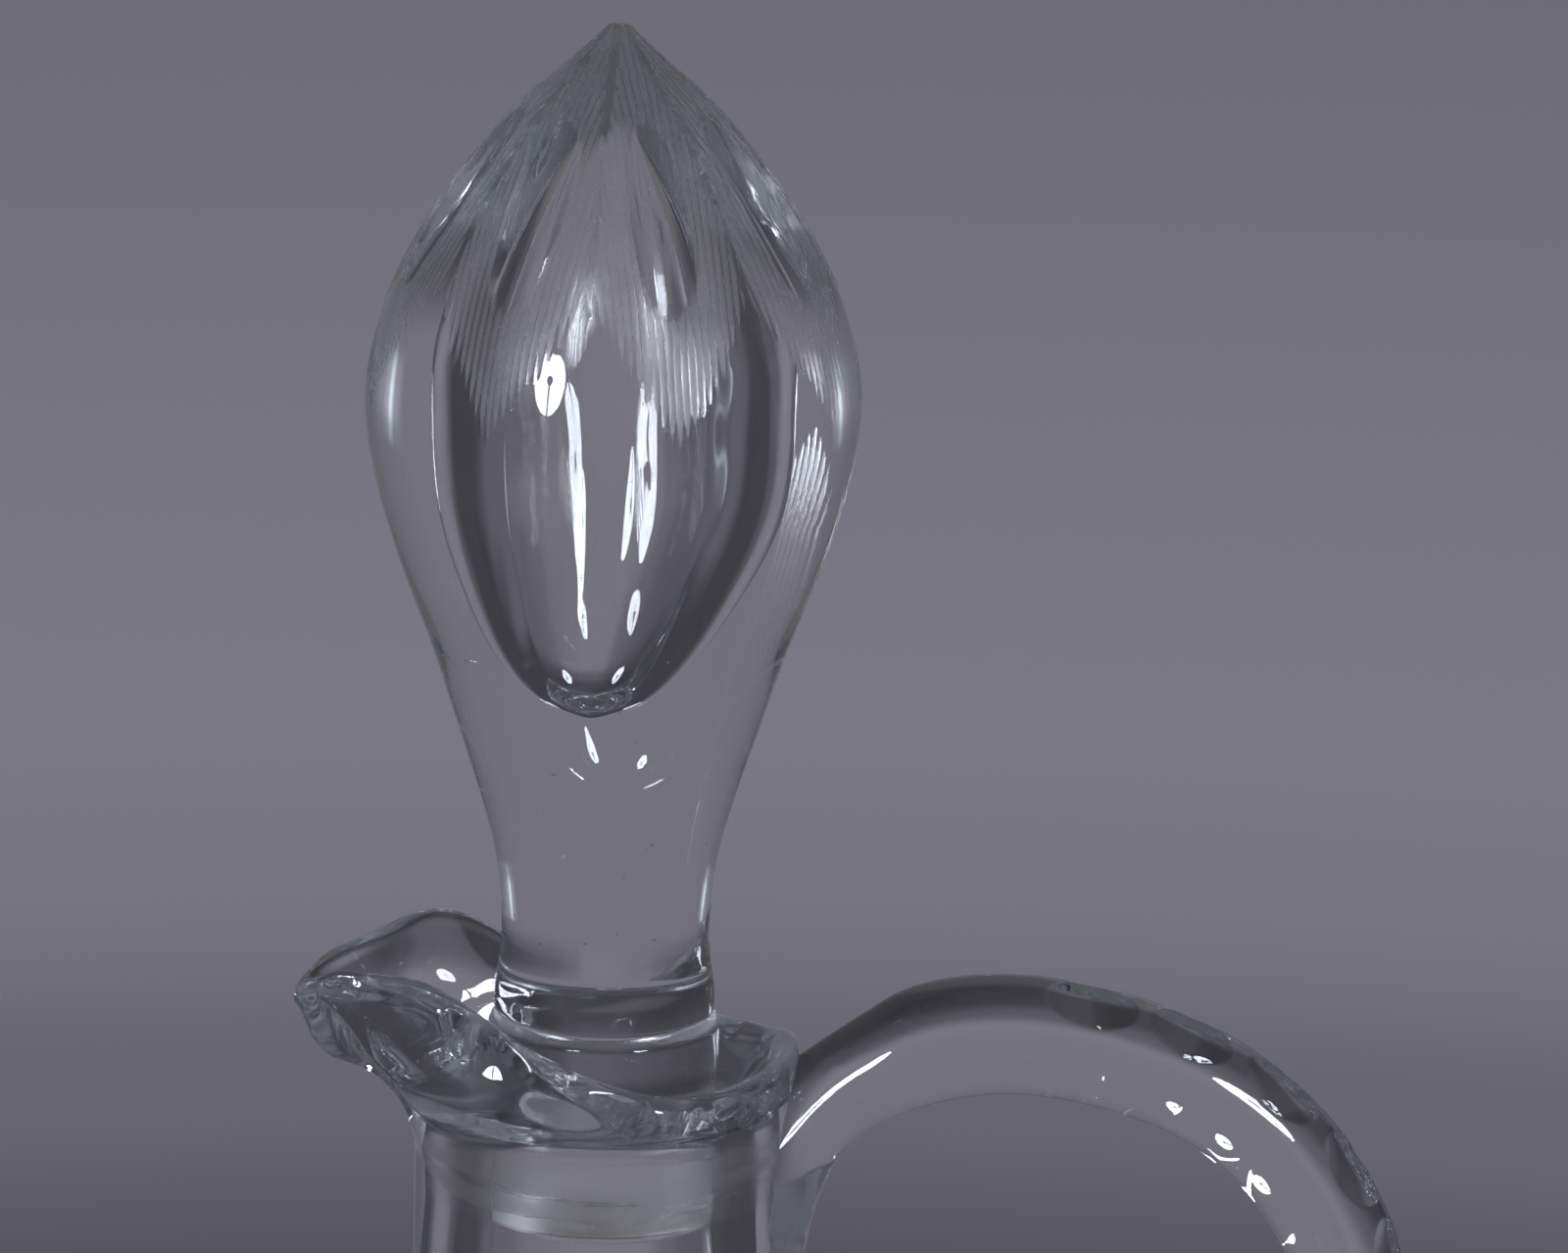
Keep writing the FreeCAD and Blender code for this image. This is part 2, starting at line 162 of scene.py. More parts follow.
# Waves round the bubble: how many, how they drift with height, where they start and their size in mm
bubble_waves = [
    (7, 60.0, 0.4, 0.030), (12, -95.0, 1.9, 0.020), (21, 150.0, 4.1, 0.011), (34, -230.0, 2.6, 0.006),
]
bubble_radius = 13.2 * MM
bubble_outline_shares = [
    (0.0, 0.0), (0.03, 0.26), (0.09, 0.455), (0.244, 0.746), (0.368, 0.91), (0.49, 0.985), (0.56, 1.0),
    (0.66, 0.925), (0.76, 0.76), (0.88, 0.44), (1.0, 0.0),
]
bubble_foot_direction = (1, 0.4)
bubble_tip_direction = (-1, 1.6)
fan_count = 8
fan_turn_deg = 16.5
fan_grooves = 25
fan_depth = 0.036 * MM
fan_low_middle = 70.0 * MM
fan_low_border = 87.5 * MM
fan_low_power = 1.1
fan_run_in = 3.6 * MM
fan_border_fade = 0.6 * MM
fan_least_satin = 0.45
fan_satin_run = 2.0
fine_rows_low = 58 * MM
fine_rows_high = 82 * MM
seed_count = 26
seed_shuffle = 7
seed_columns = 8
seed_ring_count = 3
seed_last_ring_deg = 50
seed_radii_mm = (0.05, 0.15)
seed_outer_share = 0.88
seed_lowest = 4 * MM
seed_highest = 80 * MM
seed_gap_under_bubble = 2 * MM
seed_gap_round_bubble = 1.5 * MM
petal_wheel_radius = 9.0 * MM
petal_depth = 1.1 * MM
petal_height_share = 0.84
petal_fade = 0.25 * MM
petal_fade_start = 0.6
tip_rise = 0.1 * MM
finial_merge_distance = 1e-6

# Ground plug
plug_length = finial_base - plug_bottom_level
plug_top_radius = 13.1 * MM
plug_bottom_radius = 12.4 * MM
plug_neck_radius = 11.2 * MM
plug_shoulder = 1.2 * MM
plug_edge = 1.0 * MM
plug_clearance = 0.15 * MM
plug_shoulder_direction = (-1, 0.2)

# Handle
handle_rod_radius = 6.95 * MM
handle_taper = 0.8 * MM
handle_taper_length = 90.0 * MM
handle_reach = 88.4 * MM
handle_top_drop = 3.0 * MM
handle_height = 124.9 * MM
handle_root_length = 25.5 * MM
handle_root_climb = 4.5 * MM
handle_root_half_width = 9.2 * MM
handle_foot_radius = 12.0 * MM
handle_root_fade = 2.2 * MM
handle_root_top_drop = 5.3 * MM
handle_path_shares = [
    (0.326, 0.0425), (0.379, 0.0205), (0.50, 0.0), (0.645, 0.012), (0.799, 0.058), (0.906, 0.132),
    (0.972, 0.231), (1.0, 0.372), (0.98, 0.533), (0.90, 0.694), (0.775, 0.825), (0.65, 0.91),
    (0.547, 0.965), (0.449, 1.0),
]
handle_foot_fade = 9.0 * MM
handle_turn_in = 14.0 * MM
handle_root_row_power = 1.6
handle_foot_search_share = 0.8
thumb_cut_wheel_radius = 13.0 * MM
thumb_cut_depth = 1.3 * MM
thumb_cut_pitch = 10.7 * MM
thumb_cut_count = 8
thumb_cut_angle_deg = 29.0
thumb_cut_start = 26.3 * MM

# Mesh fineness
jug_columns = 360
stem_columns = 144
foot_columns = 256
fan_columns = 4 * fan_grooves
bubble_columns = 288
bubble_rows = 90
plug_columns = 176
handle_columns = 132
handle_rows = 520
handle_root_rows = 29
handle_seat_rows = 20
contact_cap_rings = 5
handle_path_count = 1201
handle_foot_search_count = 240
foot_star_rows = 44
foot_edge_rows = 8
foot_top_rows = 60
stem_waist_rows = 10
stem_knop_rows = 33
stem_top_rows = 20
bowl_rows = 90
bowl_inside_rows = 70
neck_rows = 26
seat_rows = 10
bore_rows = 8
lip_outside_rows = 34
lip_ridge_rows = 13
lip_inside_rows = 22
lip_scallop_rows = 42
neck_scallop_rows = 14
ring_edge_rows = 9
ring_flare_rows = 22
finial_row_counts = (27, 49, 46)
plug_edge_rows = 4
plug_rows = 40
plug_shoulder_rows = 10
outline_count = 400
fine_outline_count = 2000

# Glass
glass_tint = (0.988, 0.990, 0.992, 1.0)
glass_shadow_tint = (0.9, 0.9, 0.9, 1.0)
glass_ior = 1.54
finial_satin = 0.50

# Fine grinding of the plug and its seat, which fades out at the seat above and at the plug's end below
grinding_roughness = 0.5
grinding_least = 0.5
grinding_worn_limits = (0.36, 0.62)
grinding_stretch = (45.0, 45.0, 420.0)
grinding_detail = 3.0
grinding_top_over = 1.2 * MM
grinding_top_fade = 3.0 * MM
grinding_end_over = 0.5 * MM
grinding_end_fade = 4.0 * MM

# Stage colours
backdrop_colour = (0.198, 0.192, 0.236, 1.0)
dark_room_colour = (0.047, 0.046, 0.056, 1.0)
ceiling_colour = (0.135, 0.135, 0.143, 1.0)
far_dark_colour = (0.062, 0.064, 0.078, 1.0)
far_pale_colour = (0.160, 0.172, 0.206, 1.0)
# Colour of the painted glints that glass shows at its edges
painted_edge_glint_colour = (0.86, 1.0, 1.12)
soft_light_colour = (0.62, 0.62, 0.64, 1.0)
far_backdrop_level = 0.88
high_backdrop_level = 0.92

# Studio tones by place round the jug. Across goes from 0 at its left to 1 at its right, ahead from 0 behind
# it to 1 on the camera's side, and height from 0 straight below it to 1 straight above.
glass_middle = 0.265
solid_crossings = 2
thick_crossings = 4
# Painted shade: where glass shows the floor, it is darker towards both sides of the jug
low_painted_side_shade_levels = [
    (0.0, 0.50), (0.15, 0.56), (0.28, 0.68), (0.36, 0.84), (0.48, 1.0), (0.55, 1.0), (0.61, 0.66),
    (0.68, 0.50), (1.0, 0.42),
]
table_past_hollow_glass = [(0.395, 1.0), (0.44, 0.0)]
table_past_solid_glass = [(0.28, 1.0), (0.36, 0.0)]
# Painted shade under the jug: rays through few glass faces that head steeply down see the floor darker
steep_painted_shade_levels = [(0.0, 0.75), (0.05, 0.55), (0.09, 0.27), (0.17, 0.27), (0.24, 0.52), (0.31, 1.0)]
# Painted glints at the glass's edges, by place across and by height, far to either side just below level
painted_edge_glint_places = [
    (0.03, 0.05), (0.05, 0.12), (0.062, 0.30), (0.070, 0.95), (0.078, 0.30), (0.098, 0.0), (0.86, 0.0),
    (0.892, 0.18), (0.904, 0.85), (0.915, 0.30), (0.935, 0.12), (0.97, 0.04),
]
painted_edge_glint_heights = [(0.36, 0.0), (0.405, 0.8), (0.42, 1.0), (0.44, 1.0), (0.475, 0.30), (0.51, 0.0)]
open_behind = [(0.0, 1.0), (0.013, 0.80), (0.035, 0.28), (0.08, 0.0), (0.22, 0.0), (0.36, 0.42)]
open_heights = [(0.20, 0.0), (0.29, 1.0)]
ceiling_heights = [(0.49, 0.0), (0.66, 1.0)]
clutter_scale = 3.2
clutter_detail = 1.0
clutter_levels = [(0.38, 0.0), (0.62, 1.0)]
far_levels = [
    (0.0, 0.45), (0.13, 0.52), (0.21, 0.95), (0.38, 1.0), (0.48, 0.60), (0.56, 0.55), (0.75, 0.8),
]

# Floor, its painted shade and light by distance as a share of their reach: darker near the jug as painted
# shade, brighter in a ring round it as painted light
floor_half_width = 6.0
floor_gap = 0.02 * MM
floor_fade = (2.0, 5.5)
floor_painted_light_reach = 4.0
floor_painted_light_levels = [
    (0.0, 0.42), (0.16, 0.42), (0.20, 0.72), (0.235, 1.0), (0.27, 1.10), (0.34, 1.10), (0.46, 1.03),
    (1.0, 0.95),
]

# Lamps
overhead_lamp_place = (0.4, -0.9, 1.9)
overhead_lamp_size = 1.6
overhead_lamp_watts = 26
side_lamp_place = (-1.3, -0.6, 1.2)
side_lamp_size = 1.0
side_lamp_watts = 8
lamp_aim = (0, 0, 0.2)
left_softbox_azimuth_deg = -29.5
right_softbox_azimuth_deg = 38.5
lamp_distance = 1.2
lamp_width = 0.31
lamp_low = 0.43
lamp_high = 0.90
lamp_corners = 48
lamp_point_power = 1.15
lamp_shoulder_lift = 0.1
lamp_strength = 24
lamp_colour = (0.90, 0.97, 1.08, 1.0)
lamp_full_mirrors = 2
lamp_deep_share = 0.38
lamp_spot_share = 0.52
lamp_spot_size = 0.13
lamp_spot_corners = 16
lamp_pole_width = 0.05
lamp_fitting_gap = 0.01
lamp_fitting_strength = 0.05
glass_bounces = 64
clear_bounces = 24


def camera():
    """The photograph's camera: a long lens, a little above the stopper."""
    tilt = math.radians(camera_elevation_deg)
    back = Vector((0, -math.cos(tilt), math.sin(tilt)))
    data = bpy.data.cameras.new("camera")
    data.sensor_width = sensor_width_mm
    data.lens = sensor_width_mm * camera_distance / frame_width
    data.clip_start = camera_clip_start
    data.clip_end = camera_clip_end
    obj = bpy.data.objects.new("camera", data)
    bpy.context.scene.collection.objects.link(obj)
    aim = (-back).to_track_quat("-Z", "Y").to_matrix()
    lean = Matrix.Rotation(math.radians(camera_lean_deg), 3, "Z")
    obj.matrix_world = Matrix.Translation(camera_target + back * camera_distance) @ (aim @ lean).to_4x4()
    bpy.context.scene.camera = obj


def ease(share):
    """A blend from 0 to 1 that starts and ends level."""
    return (1 - np.cos(np.pi * np.clip(share, 0, 1))) / 2


def smooth_through(points, count, start=None, end=None):
    """count points along the smoothest curve through points, with unit end directions if given."""
    points = np.asarray(points, float)
    places = np.concatenate([[0], np.cumsum(np.linalg.norm(np.diff(points, axis=0), axis=1))])
    return smooth_at(places, points, np.linspace(0, places[-1], count), start, end)


def smooth_at(places, values, wanted, start=None, end=None):
    """The smoothest curve that has the values at the places, read at the places wanted."""
    step = np.diff(places)
    count = len(values)
    slope = np.diff(values, axis=0) / step[:, None]
    matrix = np.zeros((count, count))
    target = np.zeros_like(values)
    for i in range(1, count - 1):
        matrix[i, i - 1:i + 2] = step[i], 2 * (step[i - 1] + step[i]), step[i - 1]
        target[i] = 3 * (step[i] * slope[i - 1] + step[i - 1] * slope[i])
    for row, near, direction in ((0, 1, start), (count - 1, count - 2, end)):
        if direction is None:
            matrix[row, row], matrix[row, near] = 2, 1
            target[row] = 3 * slope[min(row, near)]
        else:
            direction = np.asarray(direction, float)
            matrix[row, row] = 1
            target[row] = direction / (np.linalg.norm(direction) or 1)
    lean = np.linalg.solve(matrix, target)
    i = np.clip(np.searchsorted(places, wanted, side="right") - 1, 0, count - 2)
    span = step[i][:, None]
    share = ((wanted - places[i]) / step[i])[:, None]
    rise = 3 * share**2 - 2 * share**3
    return ((1 - rise) * values[i] + (share**3 - 2 * share**2 + share) * span * lean[i]
            + rise * values[i + 1] + (share**3 - share**2) * span * lean[i + 1])


def straight(a, b, count):
    """count points from a to b, both among them."""
    return np.linspace(np.asarray(a, float), np.asarray(b, float), count)


def part_way(start, end, shares):
    """Points part of the way from start to end, by pairs of height and radius shares."""
    return [(start[0] + (end[0] - start[0]) * across, start[1] + (end[1] - start[1]) * up)
            for up, across in shares]


def arc(centre, radius, first_deg, last_deg, count):
    """count points of an arc round a centre."""
    angles = np.radians(np.linspace(first_deg, last_deg, count))
    return np.stack([centre[0] + radius * np.cos(angles), centre[1] + radius * np.sin(angles)], axis=1)


def joined(*parts):
    """Outline stretches in one list, each dropping the point that it shares with the one before."""
    return np.concatenate([parts[0]] + [part[1:] for part in parts[1:]])


def turned(outline, columns):
    """Rings of points: an outline of radius and height, turned about the jug's axis."""
    angle = np.arange(columns) * full_turn / columns
    r, z = outline[:, 0][:, None], outline[:, 1][:, None]
    return np.stack([r * np.cos(angle), r * np.sin(angle), z + 0 * angle], axis=2)


def skin(rings, low_pole, high_pole):
    """Vertices and faces of a closed skin over rings, listed from low_pole to high_pole."""
    rows, columns, _ = rings.shape
    row, column = np.meshgrid(np.arange(rows - 1), np.arange(columns), indexing="ij")
    here = row * columns + column
    beside = row * columns + (column + 1) % columns
    faces = np.stack([here, beside, beside + columns, here + columns], axis=2).reshape(-1, 4).tolist()
    last = (rows - 1) * columns
    for i in range(columns):
        faces.append([rows * columns, (i + 1) % columns, i])
    for i in range(columns):
        faces.append([rows * columns + 1, last + i, last + (i + 1) % columns])
    verts = np.concatenate([rings.reshape(-1, 3), np.array([low_pole, high_pole], float)])
    return verts, faces


def turning(angle):
    """The matrix that turns points, as rows, about the jug's axis."""
    cosine, sine = math.cos(angle), math.sin(angle)
    return np.array([[cosine, sine, 0], [-sine, cosine, 0], [0, 0, 1]])


def piece(name, parts, node, body, finish, merge=0.0, marks=None):
    """A glass piece from one or more skins. Each part is (vertices, faces, material indices or None).

    Index 0 is the finish and 1 a joint to other glass. marks gives a value for each vertex, which the
    finish reads as the attribute satin.
    """
    verts, faces, slots, base = [], [], [], 0
    for part_verts, part_faces, part_slots in parts:
        verts.append(part_verts)
        faces += [[base + v for v in face] for face in part_faces]
        slots += [0] * len(part_faces) if part_slots is None else list(part_slots)
        base += len(part_verts)
    mesh = bpy.data.meshes.new(name)
    mesh.from_pydata(np.concatenate(verts).tolist(), [], faces)
    mesh.polygons.foreach_set("material_index", np.array(slots, np.int32))
    if marks is not None:
        mesh.attributes.new("satin", "FLOAT", "POINT").data.foreach_set("value", marks)
    if merge:
        bm = bmesh.new()
        bm.from_mesh(mesh)
        bmesh.ops.remove_doubles(bm, verts=bm.verts, dist=merge)
        bm.to_mesh(mesh)
        bm.free()
    mesh.polygons.foreach_set("use_smooth", np.ones(len(mesh.polygons), bool))
    mesh.validate()
    mesh.update()
    mesh.materials.append(finish)
    mesh.materials.append(fused_joint())
    obj = bpy.data.objects.new(name, mesh)
    bpy.context.scene.collection.objects.link(obj)
    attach(obj, body)
    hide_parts(node)
    return obj


def face_middles(verts, faces):
    """The middle of each face."""
    return np.array([verts[face].mean(axis=0) for face in faces])


def plug_radius_at(height):
    """The plug's radius at a level of its tapered side."""
    share = (height - plug_bottom_level) / plug_length
    return plug_bottom_radius + (plug_top_radius - plug_bottom_radius) * share


def bore_radius_at(height):
    """The radius of the seat ground for the plug, at a level."""
    return plug_radius_at(height) + plug_clearance


def bowl_outline(count):
    """The bowl's outer outline from the stem up to the neck."""
    low, high = (stem_top_radius, bowl_level), (bowl_radius, neck_level)
    points = [low, *part_way(low, high, lower_bowl_shares)]
    points.append((bowl_radius, bowl_level + bowl_height * widest_height_share))
    points += [*part_way((neck_radius, bowl_level), high, upper_bowl_shares), (neck_radius, neck_level)]
    return smooth_through(points, count, (1, 0), (0, 1))


def bowl_inside(count):
    """The bowl's inner outline, from its floor up to the bore."""
    outer = bowl_outline(bowl_inside_spans * bowl_inside_span_points + 1)
    along = np.gradient(outer, axis=0)
    along /= np.linalg.norm(along, axis=1)[:, None]
    neck_wall = neck_radius - bore_radius
    rise = (outer[:, 1] - bowl_level) / bowl_height
    wall = bowl_wall + (neck_wall - bowl_wall) * rise**3
    floor_level = bowl_level + bowl_base_thickness
    inner = np.stack([outer[:, 0] - along[:, 1] * wall, outer[:, 1] + along[:, 0] * wall], axis=1)
    between = inner[bowl_inside_span_points:-1:bowl_inside_span_points]
    chosen = [point for point in between if point[1] > floor_level + bowl_wall]
    return smooth_through([(0, floor_level), *chosen, (bore_radius, neck_level)], count, (1, 0), (0, 1))


def rim_at(turn_deg):
    """Radius and height of the rim's ridge, by the angle from the spout in degrees, 0 to 180."""
    table = np.array(rim_shares)
    reach = mouth_radius + (spout_reach - mouth_radius) * table[:, 1]
    rise = (lobe_rise + side_drop) * table[:, 2] - side_drop
    ridge = smooth_at(table[:, 0], np.stack([reach, rise], axis=1), np.array([turn_deg]), (0, 0), (0, 0))
    return float(ridge[0, 0]), float(ridge[0, 1])


def lip_section(turn_deg):
    """The mouth's wall at one angle: outside up to the rim, over it and down the funnel to the seat."""
    reach, rise = rim_at(turn_deg)
    ridge_height = ring_level + rise
    flare = max(0.0, (reach - mouth_radius) / (spout_reach - mouth_radius))
    lean = math.radians(lip_lean_deg) * flare
    half = lip_wall / 2
    middle = (reach - half * math.sin(lean), ridge_height - half * math.cos(lean))
    outer_edge = (middle[0] + half * math.cos(lean), middle[1] - half * math.sin(lean))
    inner_edge = (middle[0] - half * math.cos(lean), middle[1] + half * math.sin(lean))
    seat_level = ring_level - seat_depth
    seat = (bore_radius_at(seat_level), seat_level)
    start = (neck_radius, lip_level)
    outside_shares = [(up, across * flare + up * (1 - flare)) for up, across in spout_outline_shares]
    outside = [start, *part_way(start, outer_edge, outside_shares), outer_edge]
    inside = [seat, *part_way(seat, inner_edge, funnel_outline_shares), inner_edge][::-1]
    lean_deg = math.degrees(lean)
    ridge = arc(middle, half, -lean_deg, 180 - lean_deg, lip_ridge_rows)
    return joined(smooth_through(outside, lip_outside_rows), ridge, smooth_through(inside, lip_inside_rows))


def outside_balls(points, balls, radius):
    """Points inside any grinding ball are moved to its surface, straight away from its middle."""
    for ball in balls:
        away = points - ball
        distance = np.linalg.norm(away, axis=-1, keepdims=True)
        moved = ball + away / np.maximum(distance, least_length) * radius
        points = np.where(distance < radius, moved, points)
    return points


def outside_wheel(points, place, along, radius):
    """Points inside a long grinding wheel are moved to its surface, square to its length."""
    along = along / np.linalg.norm(along)
    offset = points - place
    lengthwise = (offset @ along)[..., None] * along
    away = offset - lengthwise
    distance = np.linalg.norm(away, axis=-1, keepdims=True)
    moved = place + lengthwise + away / np.maximum(distance, least_length) * radius
    return np.where(distance < radius, moved, points)


def wheel_on(outline, height, wheel_radius, depth):
    """Middle and direction of a wheel laid along an outline, sunk by depth at a height: radius and height."""
    i = int(np.argmin(abs(outline[:, 1] - height)))
    along = outline[i + 1] - outline[i - 1]
    along = along / np.linalg.norm(along)
    outward = np.array([along[1], -along[0]])
    return outline[i] + outward * (wheel_radius - depth), along


def round_about(vector, angle):
    """A radius and height pair, or its direction, placed in the half plane at an angle."""
    return np.array([vector[0] * math.cos(angle), vector[0] * math.sin(angle), vector[1]])


def outer_radius_at(height):
    """The jug's outer radius on the handle's side, up to the rim."""
    neck = straight((neck_radius, neck_level), (neck_radius, ring_level), 2)
    outline = joined(bowl_outline(outline_count), neck)
    return np.interp(height, outline[:, 1], outline[:, 0])


def in_outline(points, outline):
    """True for each point that lies inside a closed outline, both in a plane."""
    x, y = points[:, 0], points[:, 1]
    inside = np.zeros(len(points), bool)
    for (ax, ay), (bx, by) in zip(outline, np.roll(outline, -1, axis=0)):
        crosses = (ay > y) != (by > y)
        with np.errstate(divide="ignore", invalid="ignore"):
            inside ^= crosses & (x < (bx - ax) * (y - ay) / (by - ay) + ax)
    return inside


def handle_path():
    """The rod's centre line, its directions and its length up to each point."""
    shares = np.array(handle_path_shares)
    points = np.stack([handle_reach * shares[:, 0],
                       ring_level - handle_top_drop - handle_height * shares[:, 1]], axis=1)
    line = smooth_through(points, handle_path_count)
    step = np.linalg.norm(np.diff(line, axis=0), axis=1)
    length = np.concatenate([[0], np.cumsum(step)])
    along = np.gradient(line, axis=0)
    along /= np.linalg.norm(along, axis=1)[:, None]
    return line, along, length


def rod_radius_at(place, length):
    """The rod's radius at a place along its length: it thins over the arch and swells at its foot."""
    swell = np.exp((place - length) / handle_foot_fade)
    thinned = handle_rod_radius - handle_taper * ease(place / handle_taper_length)
    return thinned + (handle_foot_radius - handle_rod_radius) * swell


def rod_points(places, turn):
    """Points of the rod's surface at places along it, at angles turn from its outer ridge."""
    line, along, length = handle_path()
    x, z = (np.interp(places, length, line[:, i]) for i in (0, 1))
    tx, tz = (np.interp(places, length, along[:, i]) for i in (0, 1))
    tilt = np.hypot(tx, tz)
    tx, tz = tx / tilt, tz / tilt
    start = ease(places / handle_turn_in)
    tx, tz = 1 + (tx - 1) * start, tz * start
    radius = rod_radius_at(places, length[-1])
    return np.stack([x - tz * radius * np.cos(turn), radius * np.sin(turn),
                     z + tx * radius * np.cos(turn)], axis=-1)


def contact_cap(outline, surface_x):
    """Rings that close a contact outline over the glass it is fused to, and the point in their middle."""
    middle = outline.mean(axis=0)
    rows = []
    for k in range(1, contact_cap_rings):
        row = middle + (outline - middle) * (1 - k / contact_cap_rings)
        row[:, 0] = surface_x(row[:, 1], row[:, 2])
        rows.append(row)
    pole = middle.copy()
    pole[0] = surface_x(middle[1], middle[2])
    return np.array(rows), pole


def jug_surface_x(y, z):
    """How far out the jug's skin lies on the handle's side."""
    return np.sqrt(outer_radius_at(z)**2 - np.asarray(y)**2)


def handle_rings():
    """Rings of the handle from its outline on the neck, over the arch, to its outline on the shoulder."""
    turn = np.arange(handle_columns) * full_turn / handle_columns
    line, _, length = handle_path()
    start = line[0]
    reach = start[0] - neck_radius
    thinnest = math.exp(-reach / handle_root_fade)
    rings = []
    for share in np.linspace(0, 1, handle_root_rows + 1)[:-1]**handle_root_row_power:
        fade = (math.exp(-reach * share / handle_root_fade) - thinnest) / (1 - thinnest)
        top = start[1] + handle_rod_radius - handle_root_top_drop * (1 - share)
        bottom = start[1] - handle_rod_radius - handle_root_length * fade - handle_root_climb * (1 - share)
        half_width = handle_rod_radius + (handle_root_half_width - handle_rod_radius) * fade
        y = half_width * np.sin(turn)
        z = (top + bottom) / 2 + (top - bottom) / 2 * np.cos(turn)
        x = jug_surface_x(y, z)
        rings.append(np.stack([x + (start[0] - x) * share, y, z], axis=1))
    probe = np.linspace(length[-1] * handle_foot_search_share, length[-1], handle_foot_search_count)
    wall = np.array([rod_points(np.full(handle_columns, place), turn) for place in probe])
    depth = np.hypot(wall[..., 0], wall[..., 1]) - outer_radius_at(wall[..., 2])
    first = np.argmax(depth < 0, axis=0)
    column = np.arange(handle_columns)
    before, after = depth[first - 1, column], depth[first, column]
    ends = probe[first - 1] + (probe[first] - probe[first - 1]) * before / (before - after)
    for share in np.linspace(0, 1, handle_rows):
        rings.append(rod_points(ends * share, turn))
    return np.array(rings)


def thumb_balls():
    """Middles of the grinding balls of the handle's two rows of thumb cuts."""
    line, along, length = handle_path()
    balls = []
    for i in range(thumb_cut_count):
        place = thumb_cut_start + thumb_cut_pitch * i
        x, z = (np.interp(place, length, line[:, k]) for k in (0, 1))
        tx, tz = (np.interp(place, length, along[:, k]) for k in (0, 1))
        distance = rod_radius_at(place, length[-1]) + thumb_cut_wheel_radius - thumb_cut_depth
        for side in (-1, 1):
            angle = math.radians(thumb_cut_angle_deg) * side
            balls.append(np.array([x - tz * math.cos(angle) * distance, math.sin(angle) * distance,
                                   z + tx * math.cos(angle) * distance]))
    return balls


def handle():
    """The applied handle with its thumb cuts. Returns its outlines on the neck and on the shoulder."""
    rings = handle_rings()
    root_outline, foot_outline = rings[0].copy(), rings[-1].copy()
    arch = rings[handle_root_rows + 1:]
    arch[:] = outside_balls(arch, thumb_balls(), thumb_cut_wheel_radius)
    root_rows, root_pole = contact_cap(root_outline, jug_surface_x)
    foot_rows, foot_pole = contact_cap(foot_outline, jug_surface_x)
    rings = np.concatenate([root_rows[::-1], rings, foot_rows])
    verts, faces = skin(rings, root_pole, foot_pole)
    columns = rings.shape[1]
    row = np.array([min(face) // columns if max(face) < len(verts) - 2 else -1 for face in faces])
    fused = (row < len(root_rows)) | (row >= len(rings) - 1 - len(foot_rows))
    slots = fused.astype(int)
    piece("handle_glass", [(verts, [f[::-1] for f in faces], slots)], "handle", "jug",
          crystal("handle_crystal_finish"))
    return root_outline, foot_outline


def jug(handle_outlines):
    """Bowl, neck and lipped mouth in one skin, from the stem's joint over the rim to the bowl's floor."""
    angle = np.arange(jug_columns) * full_turn / jug_columns
    base = straight((stem_top_radius / 3, bowl_level), (stem_top_radius, bowl_level), 3)
    neck = straight((neck_radius, neck_level), (neck_radius, lip_level), neck_rows)
    below = joined(base, bowl_outline(bowl_rows), neck)
    seat_level = ring_level - seat_depth
    plug_end = (bore_radius_at(plug_bottom_level), plug_bottom_level - plug_clearance)
    seat = straight((bore_radius_at(seat_level), seat_level), plug_end, seat_rows)
    bore = straight(plug_end, (bore_radius, neck_level), bore_rows)
    above = joined(seat, bore, bowl_inside(bowl_inside_rows)[::-1])
    lip = np.array([lip_section(abs((math.degrees(turn) + 180) % 360 - 180)) for turn in angle])
    radius, height = np.moveaxis(lip, -1, 0)
    cosine, sine = np.cos(angle)[:, None], np.sin(angle)[:, None]
    lip_rings = np.stack([-radius * cosine, -radius * sine, height], axis=-1).transpose(1, 0, 2)
    spin = np.array([[-1, 0, 0], [0, -1, 0], [0, 0, 1]])
    rings_below = turned(below, jug_columns) @ spin
    rings_above = turned(above[:-1], jug_columns) @ spin
    balls = []
    for turn_deg in rim_scallop_angles_deg:
        for side in (-1, 1):
            reach, rise = rim_at(turn_deg)
            distance = reach + lip_wall / 2 + rim_scallop_wheel_radius - rim_scallop_depth
            balls.append(round_about((distance, ring_level + rise + rim_scallop_raise),
                                     math.pi + math.radians(turn_deg) * side))
    for ground_rings in (lip_rings[:lip_scallop_rows], rings_below[-neck_scallop_rows:]):
        ground_rings[:] = outside_balls(ground_rings, balls, rim_scallop_wheel_radius)
    place, along = wheel_on(bowl_outline(outline_count), bowl_level + bowl_height * bowl_flute_height_share,
                            bowl_flute_wheel_radius, bowl_flute_depth)
    for i in range(bowl_flute_count):
        turn = full_turn * i / bowl_flute_count
        rings_below = outside_wheel(rings_below, round_about(place, turn), round_about(along, turn),
                                    bowl_flute_wheel_radius)
    rings = np.concatenate([rings_below, lip_rings[1:], rings_above[1:]])
    verts, faces = skin(rings, (0, 0, bowl_level), (0, 0, above[-1, 1]))
    middles = face_middles(verts, faces)
    fused = (middles[:, 2] < bowl_level + joint_reach) & (np.hypot(*middles[:, :2].T) < stem_top_radius)
    outer_faces = np.arange(len(faces)) < (len(rings_below) + handle_seat_rows) * jug_columns
    for outline in handle_outlines:
        inside = in_outline(middles[:, 1:], outline[:, 1:])
        fused |= inside & outer_faces & (middles[:, 0] > 0)
    piece("jug_body_glass", [(verts, faces, fused.astype(int))], "jug_body", "jug",
          crystal("body_crystal_finish", ground=(plug_bottom_level, seat_level)))


